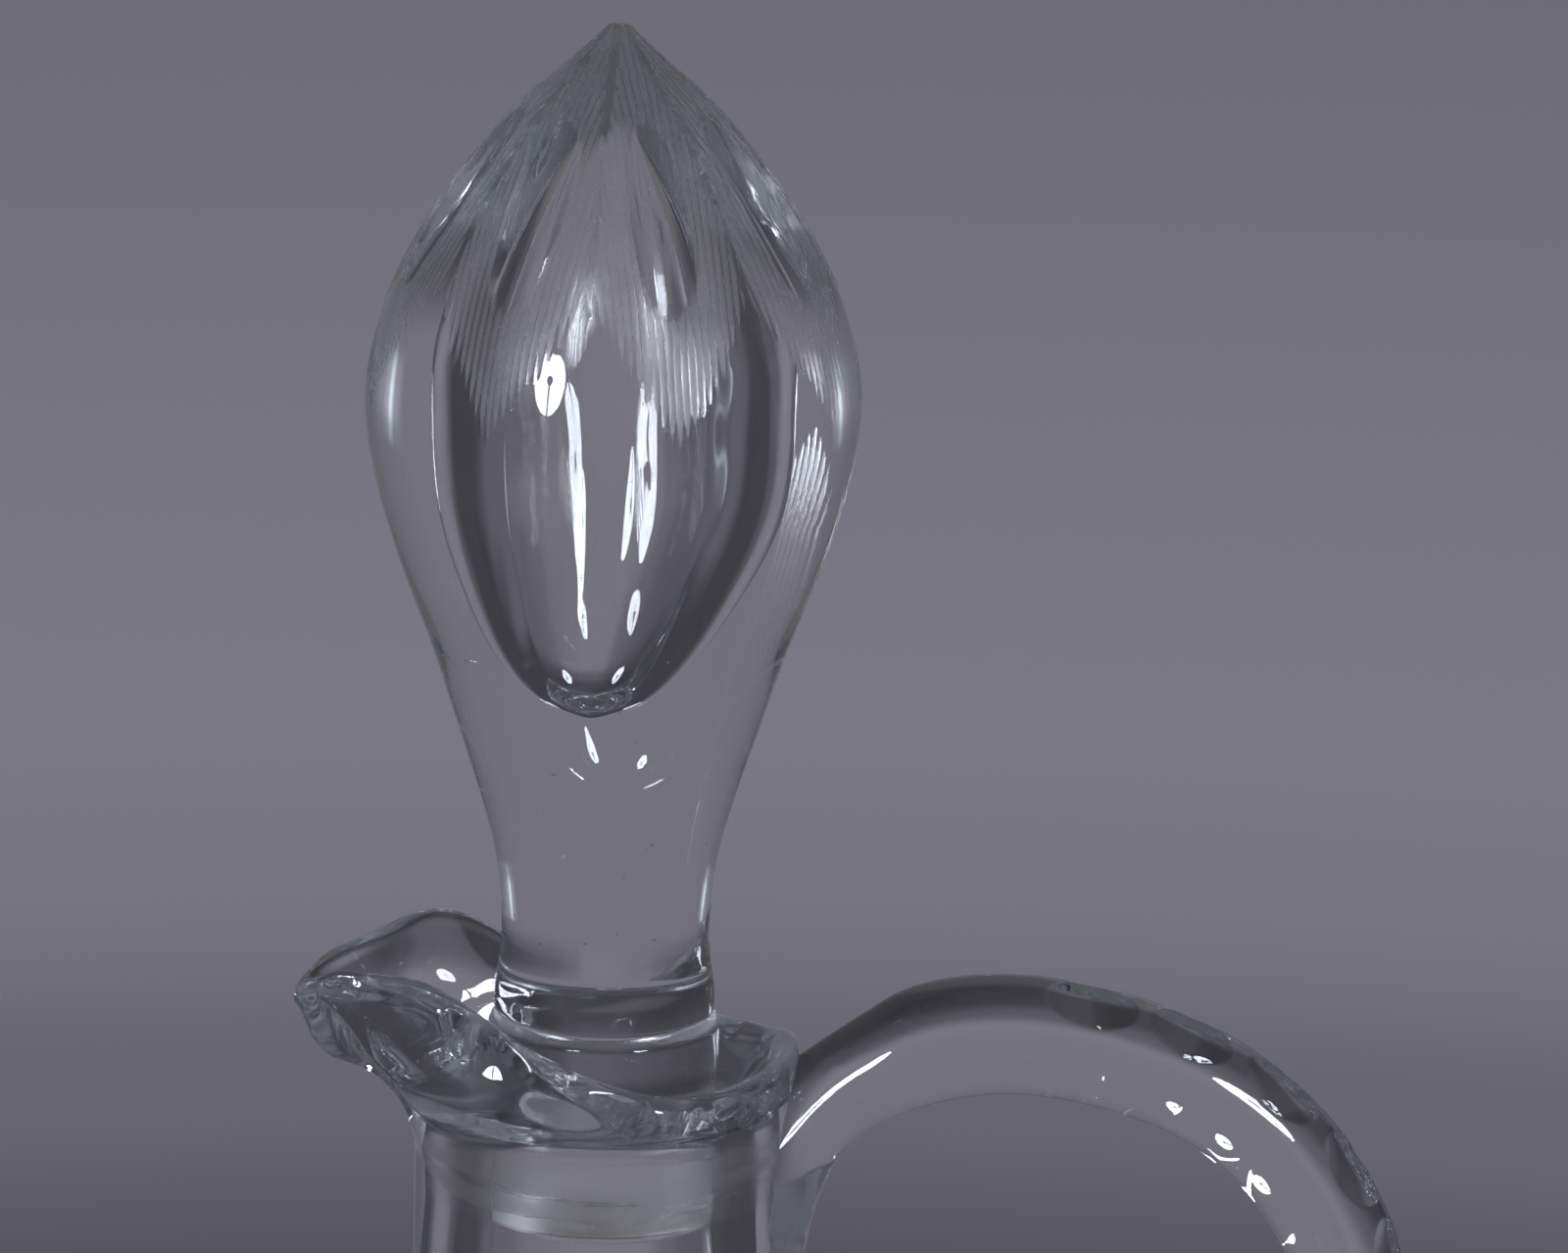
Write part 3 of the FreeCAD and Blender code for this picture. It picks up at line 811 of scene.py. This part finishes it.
def stem():
    """The short solid stem with its round knop."""
    middle = (stem_level + bowl_level) / 2
    half_knop = knop_height / 2
    waist_low = (stem_waist_radius, middle - half_knop)
    rise = knop_radius - stem_waist_radius
    knop_curve = (half_knop**2 + rise**2) / (2 * rise)
    sweep = math.degrees(math.atan2(half_knop, knop_curve - rise))
    knop = arc((knop_radius - knop_curve, middle), knop_curve, -sweep, sweep, stem_knop_rows)
    high = (stem_top_radius, bowl_level)
    flare = smooth_through([(stem_waist_radius, middle + half_knop), high], stem_top_rows, (0, 1), (1, 0))
    outline = joined(straight((stem_waist_radius / 2, stem_level), (stem_waist_radius, stem_level), 2),
                     straight((stem_waist_radius, stem_level), waist_low, stem_waist_rows), knop, flare,
                     straight(high, (stem_top_radius / 2, bowl_level), 2))
    verts, faces = skin(turned(outline, stem_columns), (0, 0, stem_level), (0, 0, bowl_level))
    level = face_middles(verts, faces)[:, 2]
    fused = (level < stem_level + joint_reach) | (level > bowl_level - joint_reach)
    piece("stem_glass", [(verts, faces, fused.astype(int))], "stem", "jug",
          crystal("stem_crystal_finish"))


def foot():
    """The foot, with a star of fine rays cut under it."""
    edge = foot_radius - foot_edge_round
    points = [(edge, foot_edge_height), *part_way((0, 0), (foot_radius, foot_height), foot_outline_shares),
              (stem_waist_radius, stem_level)]
    edge_top = foot_edge_height - foot_edge_round
    under = straight((foot_middle_radius, 0), (edge, 0), foot_star_rows)
    outline = joined(under, arc((edge, foot_edge_round), foot_edge_round, -90, 0, foot_edge_rows),
                     straight((foot_radius, foot_edge_round), (foot_radius, edge_top), 3),
                     arc((edge, edge_top), foot_edge_round, 0, 90, foot_edge_rows),
                     smooth_through(points, foot_top_rows, (-1, 0), (-1, 2)),
                     straight((stem_waist_radius, stem_level), (stem_waist_radius / 2, stem_level), 2))
    rings = turned(outline, foot_columns)
    x, y, level = np.moveaxis(rings[:foot_star_rows], -1, 0)
    ray = np.abs(((np.arctan2(y, x) * star_points / full_turn) % 1) - 0.5) * 2
    left = 1 - np.hypot(x, y) / (foot_radius * star_reach_share)
    width = np.maximum(np.clip(left, 0, 1) * star_width_share, star_least_width)
    level += star_depth * np.clip(1 - ray / width, 0, 1) * np.clip(left * star_run_out, 0, 1)
    verts, faces = skin(rings, (0, 0, star_depth), (0, 0, stem_level))
    fused = face_middles(verts, faces)[:, 2] > stem_level - joint_reach
    piece("foot_glass", [(verts, faces, fused.astype(int))], "foot", "jug",
          crystal("foot_crystal_finish"))


def finial_outline(count):
    """The finial's outline from its waist over the widest place to the tip."""
    widest = finial_base + finial_height * finial_widest_height_share
    high = (finial_radius, finial_top)
    points = [(finial_waist_radius, finial_base + finial_waist_height),
              *part_way((finial_waist_radius, finial_base), high, lower_finial_shares),
              (finial_radius, widest),
              *part_way((0, widest), high, upper_finial_shares),
              (tip_radius, finial_top)]
    return smooth_through(points, count)


def finial_rows():
    """Radius and height of each row of the finial's skin, close together where its fans are cut."""
    fine = finial_outline(fine_outline_count)
    waist = finial_base + finial_waist_height
    limits = (waist, ring_level + fine_rows_low, ring_level + fine_rows_high, finial_top)
    levels = joined(*(np.linspace(low, high, count)
                      for low, high, count in zip(limits, limits[1:], finial_row_counts)))
    body = np.stack([np.interp(levels, fine[:, 1], fine[:, 0]), levels], axis=1)
    base_edge = arc((ring_radius - ring_edge, finial_base + ring_edge), ring_edge, -90, 0, ring_edge_rows)
    flare = [(ring_radius, finial_base + ring_edge),
             *part_way((finial_waist_radius, finial_base), (ring_radius, waist), ring_flare_shares),
             (finial_waist_radius, waist)]
    return joined(straight((plug_neck_radius, finial_base), (ring_radius - ring_edge, finial_base), 2),
                  base_edge, smooth_through(flare, ring_flare_rows, (0, 1), (0, 1)), body)


def fan_surface(rows):
    """The cut cap: eight fans of fine grooves, each fan's grooves parallel, over eight hollow petals."""
    half_fan = math.pi / fan_count
    side = finial_radius * math.sin(half_fan)
    fan_pitch = 2 * side / fan_grooves
    step = np.arange(fan_columns + 1) - fan_columns // 2
    place = step / (fan_columns // 2) * side
    radius, level = rows[:, 0][:, None], rows[:, 1][:, None]
    border = radius * math.sin(half_fan)
    above = level > finial_base + finial_height * finial_widest_height_share
    across = np.where(above, np.clip(place, -border, border), place * radius / finial_radius)
    forward = np.sqrt(np.maximum(radius**2 - across**2, 0))
    points = np.stack([forward, across, level + 0 * across], axis=-1)
    uncut = points
    petal_level = finial_base + finial_height * petal_height_share
    outline = finial_outline(fine_outline_count)
    wheel_place, along = wheel_on(outline, petal_level, petal_wheel_radius, petal_depth)
    points = outside_wheel(points, round_about(wheel_place, 0), round_about(along, 0), petal_wheel_radius)
    leaf = np.clip(np.linalg.norm(points - uncut, axis=-1) / petal_fade - petal_fade_start, 0, 1)
    groove = np.round(np.abs(place) / fan_pitch) * fan_pitch
    share = np.clip(groove / side, 0, 1)
    low = ring_level + fan_low_middle + (fan_low_border - fan_low_middle) * share**fan_low_power
    run = np.clip((level - low) / fan_run_in, 0, 1)
    near_border = np.clip((border - np.abs(across)) / fan_border_fade, 0, 1)
    profile = 1 - np.abs(((place / fan_pitch + 0.5) % 1) - 0.5) * 2
    depth = fan_depth * profile * np.sqrt(run) * near_border * (1 - leaf)
    slope = np.gradient(rows[:, 0]) / np.maximum(np.gradient(rows[:, 1]), least_length)
    lean = np.arctan(-slope)[:, None]
    points[..., 0] -= depth * np.cos(lean)
    points[..., 2] -= depth * np.sin(lean)
    satin = np.clip(run * fan_satin_run - (1 - profile), 0, 1) * near_border * (1 - leaf)
    cut = satin * (fan_least_satin + (1 - fan_least_satin) * profile)
    sectors = []
    for i in range(fan_count):
        turn = math.radians(fan_turn_deg) + full_turn * i / fan_count
        sectors.append((points @ turning(turn))[:, :-1])
    return np.concatenate(sectors, axis=1), np.tile(cut[:, :-1], (1, fan_count))


def bubble_outline(count):
    """The bubble's outline from its foot over its widest place to its tip."""
    low = ring_level + bubble_floor
    points = part_way((0, low), (bubble_radius, low + bubble_height), bubble_outline_shares)
    return smooth_through(points, count, bubble_foot_direction, bubble_tip_direction)


def bubble_rings():
    """The bubble's rings and poles, with the faint upright waves of drawn glass and a leaning foot."""
    outline = bubble_outline(bubble_rows)
    rings = turned(outline[1:-1], bubble_columns)
    angle = np.arange(bubble_columns) * full_turn / bubble_columns
    level = rings[..., 2] - finial_base
    radius = outline[1:-1, 0][:, None]
    swell = np.zeros(rings.shape[:2])
    for count, drift, phase, size in bubble_waves:
        swell += size * MM * np.sin(count * angle + drift * level + phase + np.sin(level * drift))
    scale = 1 + swell * np.clip(radius / bubble_radius, 0, 1) / bubble_radius
    rings[..., :2] *= scale[..., None]
    lean = ease(1 - (level - level[0]) / (bubble_height * bubble_lean_share))
    rings[..., 0] -= bubble_lean * lean
    return rings, (-bubble_lean, 0, outline[0, 1]), (0, 0, outline[-1, 1])


def seed(middle, radius):
    """A tiny air bubble in the glass, as a skin that faces inwards."""
    outline = arc((0, 0), radius, -seed_last_ring_deg, seed_last_ring_deg, seed_ring_count)
    pole = np.array([0, 0, radius])
    verts, faces = skin(turned(outline, seed_columns) + middle, middle - pole, middle + pole)
    return verts, [face[::-1] for face in faces], None


def seeds(low, high, inner, outline):
    """Seeds scattered between two levels, outside the radius inner and within the outline."""
    found = []
    dice = random.Random(seed_shuffle)
    for _ in range(seed_count):
        level = dice.uniform(low, high)
        outer = float(np.interp(level, outline[:, 1], outline[:, 0])) * seed_outer_share
        reach = math.sqrt(dice.uniform(inner**2, outer**2))
        turn = dice.uniform(0, full_turn)
        radius = dice.uniform(*seed_radii_mm) * MM
        found.append(seed(round_about((reach, level), turn), radius))
    return found


def finial():
    """The finial over its ring, with the bubble and the seeds in its glass."""
    rings, cut = fan_surface(finial_rows())
    inner = turned(np.array([[plug_neck_radius / 2, finial_base]]), rings.shape[1])
    inner = inner @ turning(math.radians(fan_turn_deg) - math.pi / fan_count)
    verts, faces = skin(np.concatenate([inner, rings]), (0, 0, finial_base), (0, 0, finial_top + tip_rise))
    middles = face_middles(verts, faces)
    fused = (middles[:, 2] < finial_base + joint_reach) & (np.hypot(*middles[:, :2].T) < plug_neck_radius)
    air_verts, air_faces = skin(*bubble_rings())
    air_faces = [face[::-1] for face in air_faces]
    bubble_level = ring_level + bubble_floor
    outline = finial_outline(outline_count)
    specks = seeds(finial_base + seed_lowest, bubble_level - seed_gap_under_bubble, 0, outline)
    specks += seeds(bubble_level, ring_level + seed_highest, bubble_radius + seed_gap_round_bubble, outline)
    satin = np.zeros(len(verts) + len(air_verts) + sum(len(part[0]) for part in specks))
    satin[rings.shape[1]:rings.shape[1] + cut.size] = cut.ravel()
    piece("stopper_finial_glass", [(verts, faces, fused.astype(int)), (air_verts, air_faces, None), *specks],
          "stopper_finial", "stopper", crystal("finial_crystal_finish", satin=finial_satin),
          merge=finial_merge_distance, marks=satin)


def plug():
    """The tapered ground plug under the finial."""
    bottom = plug_bottom_radius - plug_edge
    edge_level = plug_bottom_level + plug_edge
    shoulder_level = finial_base - plug_shoulder
    edge = (plug_radius_at(edge_level), edge_level)
    shoulder = (plug_radius_at(shoulder_level), shoulder_level)
    outline = joined(straight((bottom / 3, plug_bottom_level), (bottom, plug_bottom_level), 3),
                     straight((bottom, plug_bottom_level), edge, plug_edge_rows),
                     straight(edge, shoulder, plug_rows),
                     smooth_through([shoulder, (plug_neck_radius, finial_base)], plug_shoulder_rows,
                                    (0, 1), plug_shoulder_direction),
                     straight((plug_neck_radius, finial_base), (plug_neck_radius / 2, finial_base), 2))
    verts, faces = skin(turned(outline, plug_columns), (0, 0, plug_bottom_level), (0, 0, finial_base))
    fused = face_middles(verts, faces)[:, 2] > finial_base - joint_reach
    finish = crystal("plug_crystal_finish", ground=(plug_bottom_level, ring_level - seat_depth))
    piece("stopper_plug_glass", [(verts, faces, fused.astype(int))],
          "stopper_plug", "stopper", finish)


def new_material(name):
    """An empty material, its node tree and its output node."""
    material = bpy.data.materials.new(name)
    material.use_nodes = True
    tree = material.node_tree
    tree.nodes.clear()
    return material, tree, tree.nodes.new("ShaderNodeOutputMaterial")


def feed(tree, value, socket):
    """Puts a plain value, or what another node gives, into a node's socket."""
    if isinstance(value, bpy.types.NodeSocket):
        tree.links.new(value, socket)
    else:
        socket.default_value = value


def arithmetic(tree, operation, first, second):
    """Two values worked into one, as a socket."""
    node = tree.nodes.new("ShaderNodeMath")
    node.operation = operation
    feed(tree, first, node.inputs[0])
    feed(tree, second, node.inputs[1])
    return node.outputs[0]


def reached(tree, depth, count):
    """1 once a ray's depth has come to a whole count, and 0 before, as a socket."""
    return arithmetic(tree, "GREATER_THAN", depth, count - 0.5)


def on_vector(tree, operation, first, second=None, scale=None):
    """A vector worked on by another or by a scale, as a socket. Its length is a plain value."""
    node = tree.nodes.new("ShaderNodeVectorMath")
    node.operation = operation
    feed(tree, first, node.inputs[0])
    if second is not None:
        feed(tree, second, node.inputs[1])
    if scale is not None:
        feed(tree, scale, node.inputs["Scale"])
    return node.outputs["Value" if operation == "LENGTH" else "Vector"]


def spread(tree, value, first, last, first_result=0.0, last_result=1.0):
    """A value that goes evenly from first_result to last_result between two limits, as a socket."""
    node = tree.nodes.new("ShaderNodeMapRange")
    for name, number in (("Value", value), ("From Min", first), ("From Max", last),
                         ("To Min", first_result), ("To Max", last_result)):
        feed(tree, number, node.inputs[name])
    return node.outputs["Result"]


def ramp(tree, value, stops):
    """A smooth curve of values over 0 to 1, as a socket."""
    node = tree.nodes.new("ShaderNodeValToRGB")
    node.color_ramp.interpolation = "EASE"
    elements = node.color_ramp.elements
    while len(elements) < len(stops):
        elements.new(0.5)
    for element, (place, level) in zip(elements, stops):
        element.position = place
        element.color = (level, level, level, 1)
    feed(tree, value, node.inputs[0])
    return node.outputs["Color"]


def blend(tree, factor, first, second, kind="RGBA"):
    """A blend of two colours, or of two values where the kind is FLOAT, as a socket."""
    node = tree.nodes.new("ShaderNodeMix")
    node.data_type = kind
    for name, value in (("Factor", factor), ("A", first), ("B", second)):
        feed(tree, value, node.inputs[name])
    return node.outputs["Result"]


def mix_shaders(tree, factor, first, second):
    """The node of one shader that gives way to another as the factor rises."""
    node = tree.nodes.new("ShaderNodeMixShader")
    for value, socket in zip((factor, first.outputs[0], second.outputs[0]), node.inputs):
        feed(tree, value, socket)
    return node


def parts_of(tree, vector):
    """The X, Y and Z of a vector, as sockets."""
    node = tree.nodes.new("ShaderNodeSeparateXYZ")
    feed(tree, vector, node.inputs[0])
    return node.outputs


def flattened(tree, parts):
    """The level part of a vector given by its parts, as a socket."""
    node = tree.nodes.new("ShaderNodeCombineXYZ")
    feed(tree, parts["X"], node.inputs["X"])
    feed(tree, parts["Y"], node.inputs["Y"])
    return node.outputs[0]


def noise(tree, vector, scale, detail):
    """Soft random values by place, as a socket."""
    node = tree.nodes.new("ShaderNodeTexNoise")
    feed(tree, vector, node.inputs["Vector"])
    node.inputs["Scale"].default_value = scale
    node.inputs["Detail"].default_value = detail
    return node.outputs["Fac"]


def fused_joint():
    """Glass fused to glass: light goes straight through the joint."""
    material = bpy.data.materials.get("fused_joint")
    if material is None:
        material, tree, output = new_material("fused_joint")
        clear = tree.nodes.new("ShaderNodeBsdfTransparent")
        feed(tree, clear.outputs[0], output.inputs["Surface"])
    return material


def ground_finish(tree, low, high):
    """Roughness of the fine grinding on the plug and in the bore, fading out at both levels, as a socket."""
    place = tree.nodes.new("ShaderNodeTexCoord").outputs["Object"]
    parts = parts_of(tree, place)
    under_seat = spread(tree, parts["Z"], high + grinding_top_over, high - grinding_top_fade)
    over_end = spread(tree, parts["Z"], low - grinding_end_over, low + grinding_end_fade)
    in_bore = arithmetic(tree, "LESS_THAN", on_vector(tree, "LENGTH", flattened(tree, parts)),
                         (neck_radius + bore_radius) / 2)
    streaks = noise(tree, on_vector(tree, "MULTIPLY", place, grinding_stretch), 1.0, grinding_detail)
    worn = spread(tree, streaks, *grinding_worn_limits, grinding_least)
    roughness = arithmetic(tree, "MULTIPLY", under_seat, over_end)
    for share in (worn, in_bore, grinding_roughness):
        roughness = arithmetic(tree, "MULTIPLY", roughness, share)
    return roughness


def crystal(name, ground=None, satin=0.0):
    """Polished clear lead crystal, finely ground between two levels or where the attribute satin says."""
    material, tree, output = new_material(name)
    glass = tree.nodes.new("ShaderNodeBsdfPrincipled")
    glass.inputs["Base Color"].default_value = glass_tint
    glass.inputs["Roughness"].default_value = 0.0
    glass.inputs["IOR"].default_value = glass_ior
    glass.inputs["Transmission Weight"].default_value = 1.0
    if satin:
        marked = tree.nodes.new("ShaderNodeAttribute")
        marked.attribute_name = "satin"
        feed(tree, arithmetic(tree, "MULTIPLY", marked.outputs["Fac"], satin), glass.inputs["Roughness"])
    if ground:
        feed(tree, ground_finish(tree, *ground), glass.inputs["Roughness"])
    clear = tree.nodes.new("ShaderNodeBsdfTransparent")
    clear.inputs["Color"].default_value = glass_shadow_tint
    path = tree.nodes.new("ShaderNodeLightPath")
    shown = mix_shaders(tree, path.outputs["Is Shadow Ray"], glass, clear)
    feed(tree, shown.outputs[0], output.inputs["Surface"])
    return material


def surroundings():
    """Colours of the studio by the direction towards the jug, for what glass lets through and mirrors. What
    glass lets through holds painted shade on the floor beside and under the jug, and painted glints at its
    edges.
    """
    group = bpy.data.node_groups.new("surroundings", "ShaderNodeTree")
    group.interface.new_socket("Direction", in_out="INPUT", socket_type="NodeSocketVector")
    for name in ("Solid", "Thick"):
        group.interface.new_socket(name, in_out="INPUT", socket_type="NodeSocketFloat")
    for name in ("Seen through", "Mirrored", "Far"):
        group.interface.new_socket(name, in_out="OUTPUT", socket_type="NodeSocketColor")
    given, result = group.nodes.new("NodeGroupInput").outputs, group.nodes.new("NodeGroupOutput").inputs
    parts = parts_of(group, given["Direction"])
    level_parts = parts_of(group, on_vector(group, "NORMALIZE", flattened(group, parts)))
    across = spread(group, level_parts["X"], 1.0, -1.0)
    ahead = spread(group, level_parts["Y"], -1.0, 1.0)
    height = spread(group, parts["Z"], 1.0, -1.0)

    # Painted shade: rays that head down to the floor see it darker towards the jug's sides
    near_table = blend(group, given["Solid"], ramp(group, height, table_past_hollow_glass),
                       ramp(group, height, table_past_solid_glass), "FLOAT")
    painted_table_shade = blend(group, near_table, high_backdrop_level, ramp(group, across, low_painted_side_shade_levels),
                       "FLOAT")
    # Painted shade under the jug, for rays that have crossed few glass faces
    steep_painted_shade = blend(group, given["Thick"], 1.0, ramp(group, height, steep_painted_shade_levels), "FLOAT")
    seen = on_vector(group, "SCALE", backdrop_colour[:3],
                     scale=arithmetic(group, "MULTIPLY", painted_table_shade, steep_painted_shade))
    # Painted glints: a bright band that glass shows where it bends rays far to either side, just below level
    glow = arithmetic(group, "MULTIPLY", ramp(group, across, painted_edge_glint_places),
                      ramp(group, height, painted_edge_glint_heights))
    painted_glint_colour = on_vector(group, "SCALE", painted_edge_glint_colour, scale=glow)
    feed(group, on_vector(group, "ADD", seen, painted_glint_colour), result["Seen through"])

    open_share = arithmetic(group, "MULTIPLY", ramp(group, ahead, open_behind),
                            ramp(group, height, open_heights))
    room = blend(group, open_share, dark_room_colour, backdrop_colour)
    feed(group, blend(group, ramp(group, height, ceiling_heights), room, ceiling_colour), result["Mirrored"])

    pale = ramp(group, noise(group, given["Direction"], clutter_scale, clutter_detail), clutter_levels)
    far_colour = blend(group, pale, far_dark_colour, far_pale_colour)
    feed(group, on_vector(group, "SCALE", far_colour, scale=ramp(group, height, far_levels)), result["Far"])
    return group


def studio_colour(tree, direction, direct, plain):
    """The stage's colour: direct for the camera, plain for soft light, the studio for what glass shows."""
    path = tree.nodes.new("ShaderNodeLightPath").outputs
    group = tree.nodes.new("ShaderNodeGroup")
    group.node_tree = bpy.data.node_groups.get("surroundings") or surroundings()
    feed(tree, direction, group.inputs["Direction"])
    for name, crossings in (("Solid", solid_crossings), ("Thick", thick_crossings)):
        few = arithmetic(tree, "LESS_THAN", path["Transmission Depth"], crossings + 0.5)
        feed(tree, few, group.inputs[name])
    mirrored_once = reached(tree, path["Glossy Depth"], 1)
    mirrored_again = reached(tree, path["Glossy Depth"], 2)
    seen = blend(tree, path["Is Camera Ray"], plain, direct)
    seen = blend(tree, path["Is Transmission Ray"], seen, group.outputs["Seen through"])
    mirrored = blend(tree, mirrored_again, group.outputs["Mirrored"], group.outputs["Far"])
    return blend(tree, mirrored_once, seen, mirrored)


def floor():
    """A wide floor that fades into the backdrop colour far away. Its paper holds painted shade near the jug
    and painted light in a brighter ring round it.
    """
    material, tree, output = new_material("floor_paper")
    place = tree.nodes.new("ShaderNodeTexCoord").outputs["Object"]
    distance = on_vector(tree, "LENGTH", place)
    # Painted shade and light: the paper's colour is darker near the jug and brighter in a ring round it.
    shade = ramp(tree, spread(tree, distance, 0.0, floor_painted_light_reach), floor_painted_light_levels)
    paper = tree.nodes.new("ShaderNodeBsdfDiffuse")
    feed(tree, on_vector(tree, "SCALE", backdrop_colour[:3], scale=shade), paper.inputs["Color"])
    to_jug = on_vector(tree, "NORMALIZE", on_vector(tree, "SUBTRACT", (0, 0, glass_middle), place))
    seen = tree.nodes.new("ShaderNodeEmission")
    feed(tree, studio_colour(tree, to_jug, backdrop_colour, backdrop_colour), seen.inputs["Color"])
    path = tree.nodes.new("ShaderNodeLightPath").outputs
    in_glass = arithmetic(tree, "MAXIMUM", path["Is Transmission Ray"], path["Is Glossy Ray"])
    clear = tree.nodes.new("ShaderNodeBsdfTransparent")
    lit = mix_shaders(tree, in_glass, paper, seen)
    shown = mix_shaders(tree, spread(tree, distance, *floor_fade), lit, clear)
    feed(tree, shown.outputs[0], output.inputs["Surface"])
    material.cycles.emission_sampling = "NONE"
    mesh = bpy.data.meshes.new("floor")
    low, high = -floor_half_width, floor_half_width
    corners = [(low, low, 0), (high, low, 0), (high, high, 0), (low, high, 0)]
    mesh.from_pydata(corners, [], [(0, 1, 2, 3)])
    mesh.materials.append(material)
    obj = bpy.data.objects.new("floor", mesh)
    obj.location.z = -floor_gap
    bpy.context.scene.collection.objects.link(obj)


def world():
    """The backdrop for what is seen, the studio for what glass shows, and even light for the rest."""
    studio = bpy.data.worlds.new("studio")
    bpy.context.scene.world = studio
    studio.use_nodes = True
    tree = studio.node_tree
    tree.nodes.clear()
    output = tree.nodes.new("ShaderNodeOutputWorld")
    background = tree.nodes.new("ShaderNodeBackground")
    far_colour = tuple(c * far_backdrop_level for c in backdrop_colour[:3]) + (1,)
    place = tree.nodes.new("ShaderNodeTexCoord").outputs["Generated"]
    to_jug = on_vector(tree, "SCALE", place, scale=-1.0)
    feed(tree, studio_colour(tree, to_jug, far_colour, soft_light_colour), background.inputs["Color"])
    feed(tree, background.outputs[0], output.inputs["Surface"])


def lamp(name, place, size, watts):
    """A soft lamp for the floor. The glass mirrors the softboxes instead."""
    data = bpy.data.lights.new(name, "AREA")
    data.shape = "SQUARE"
    data.size = size
    data.energy = watts
    obj = bpy.data.objects.new(name, data)
    obj.location = place
    obj.rotation_euler = (Vector(lamp_aim) - Vector(place)).to_track_quat("-Z", "Y").to_euler()
    obj.visible_camera = False
    obj.visible_glossy = False
    obj.visible_transmission = False
    bpy.context.scene.collection.objects.link(obj)


def glowing(name, strength):
    """A light that only mirrored rays see, weaker after a few mirrorings."""
    material, tree, output = new_material(name)
    glossy_depth = tree.nodes.new("ShaderNodeLightPath").outputs["Glossy Depth"]
    glow = tree.nodes.new("ShaderNodeEmission")
    glow.inputs["Color"].default_value = lamp_colour
    feed(tree, spread(tree, glossy_depth, lamp_full_mirrors, lamp_full_mirrors + 1,
                      strength, strength * lamp_deep_share), glow.inputs["Strength"])
    clear = tree.nodes.new("ShaderNodeBsdfTransparent")
    shown = mix_shaders(tree, reached(tree, glossy_depth, 1), clear, glow)
    feed(tree, shown.outputs[0], output.inputs["Surface"])
    material.cycles.emission_sampling = "NONE"
    return material


def round_corners(count):
    """Cosine and sine of even turns round a circle."""
    turns = [full_turn * i / count for i in range(count)]
    return [(math.cos(turn), math.sin(turn)) for turn in turns]


def softbox(name, azimuth_deg):
    """A tall pointed lamp with a dark fitting in front, that mirrored rays see. Azimuth 0 is along -Y."""
    azimuth = math.radians(azimuth_deg)
    outward = Vector((math.sin(azimuth), -math.cos(azimuth), 0))
    across = Vector((math.cos(azimuth), math.sin(azimuth), 0)) * (lamp_width / 2)
    upward = Vector((0, 0, (lamp_high - lamp_low) / 2))
    middle = outward * lamp_distance + Vector((0, 0, (lamp_low + lamp_high) / 2))
    corners = []
    for sideways, rise in round_corners(lamp_corners):
        narrowed = math.copysign(abs(sideways)**lamp_point_power, sideways)
        corners.append(middle + across * narrowed
                       + upward * (rise * (1 - lamp_shoulder_lift) + lamp_shoulder_lift * abs(sideways)))
    nearer = middle - outward * lamp_fitting_gap
    spot = nearer + upward * (2 * lamp_spot_share - 1)
    size = (lamp_high - lamp_low) * lamp_spot_size / 2
    for sideways, rise in round_corners(lamp_spot_corners):
        corners.append(spot + across * (sideways * size / lamp_width * 2) + Vector((0, 0, rise * size)))
    pole = across * lamp_pole_width
    pole_foot = nearer - upward * (1 - lamp_shoulder_lift)
    corners += [spot - pole, spot + pole, pole_foot + pole, pole_foot - pole]
    spot_end = lamp_corners + lamp_spot_corners
    mesh = bpy.data.meshes.new(name)
    mesh.from_pydata(corners, [], [list(range(lamp_corners)), list(range(lamp_corners, spot_end)),
                                   list(range(spot_end, len(corners)))])
    mesh.materials.append(glowing(name + "_light", lamp_strength))
    mesh.materials.append(glowing(name + "_fitting", lamp_fitting_strength))
    mesh.polygons.foreach_set("material_index", [0, 1, 1])
    obj = bpy.data.objects.new(name, mesh)
    obj.visible_camera = False
    obj.visible_diffuse = False
    obj.visible_shadow = False
    bpy.context.scene.collection.objects.link(obj)


camera()
jug(handle())
stem()
foot()
finial()
plug()
floor()
world()
lamp("overhead_lamp", overhead_lamp_place, overhead_lamp_size, overhead_lamp_watts)
lamp("side_lamp", side_lamp_place, side_lamp_size, side_lamp_watts)
softbox("left_softbox", left_softbox_azimuth_deg)
softbox("right_softbox", right_softbox_azimuth_deg)

scene = bpy.context.scene
scene.view_settings.view_transform = "Standard"
scene.cycles.max_bounces = glass_bounces
scene.cycles.transmission_bounces = glass_bounces
scene.cycles.glossy_bounces = glass_bounces
scene.cycles.transparent_max_bounces = clear_bounces
scene.cycles.sample_clamp_indirect = lamp_strength
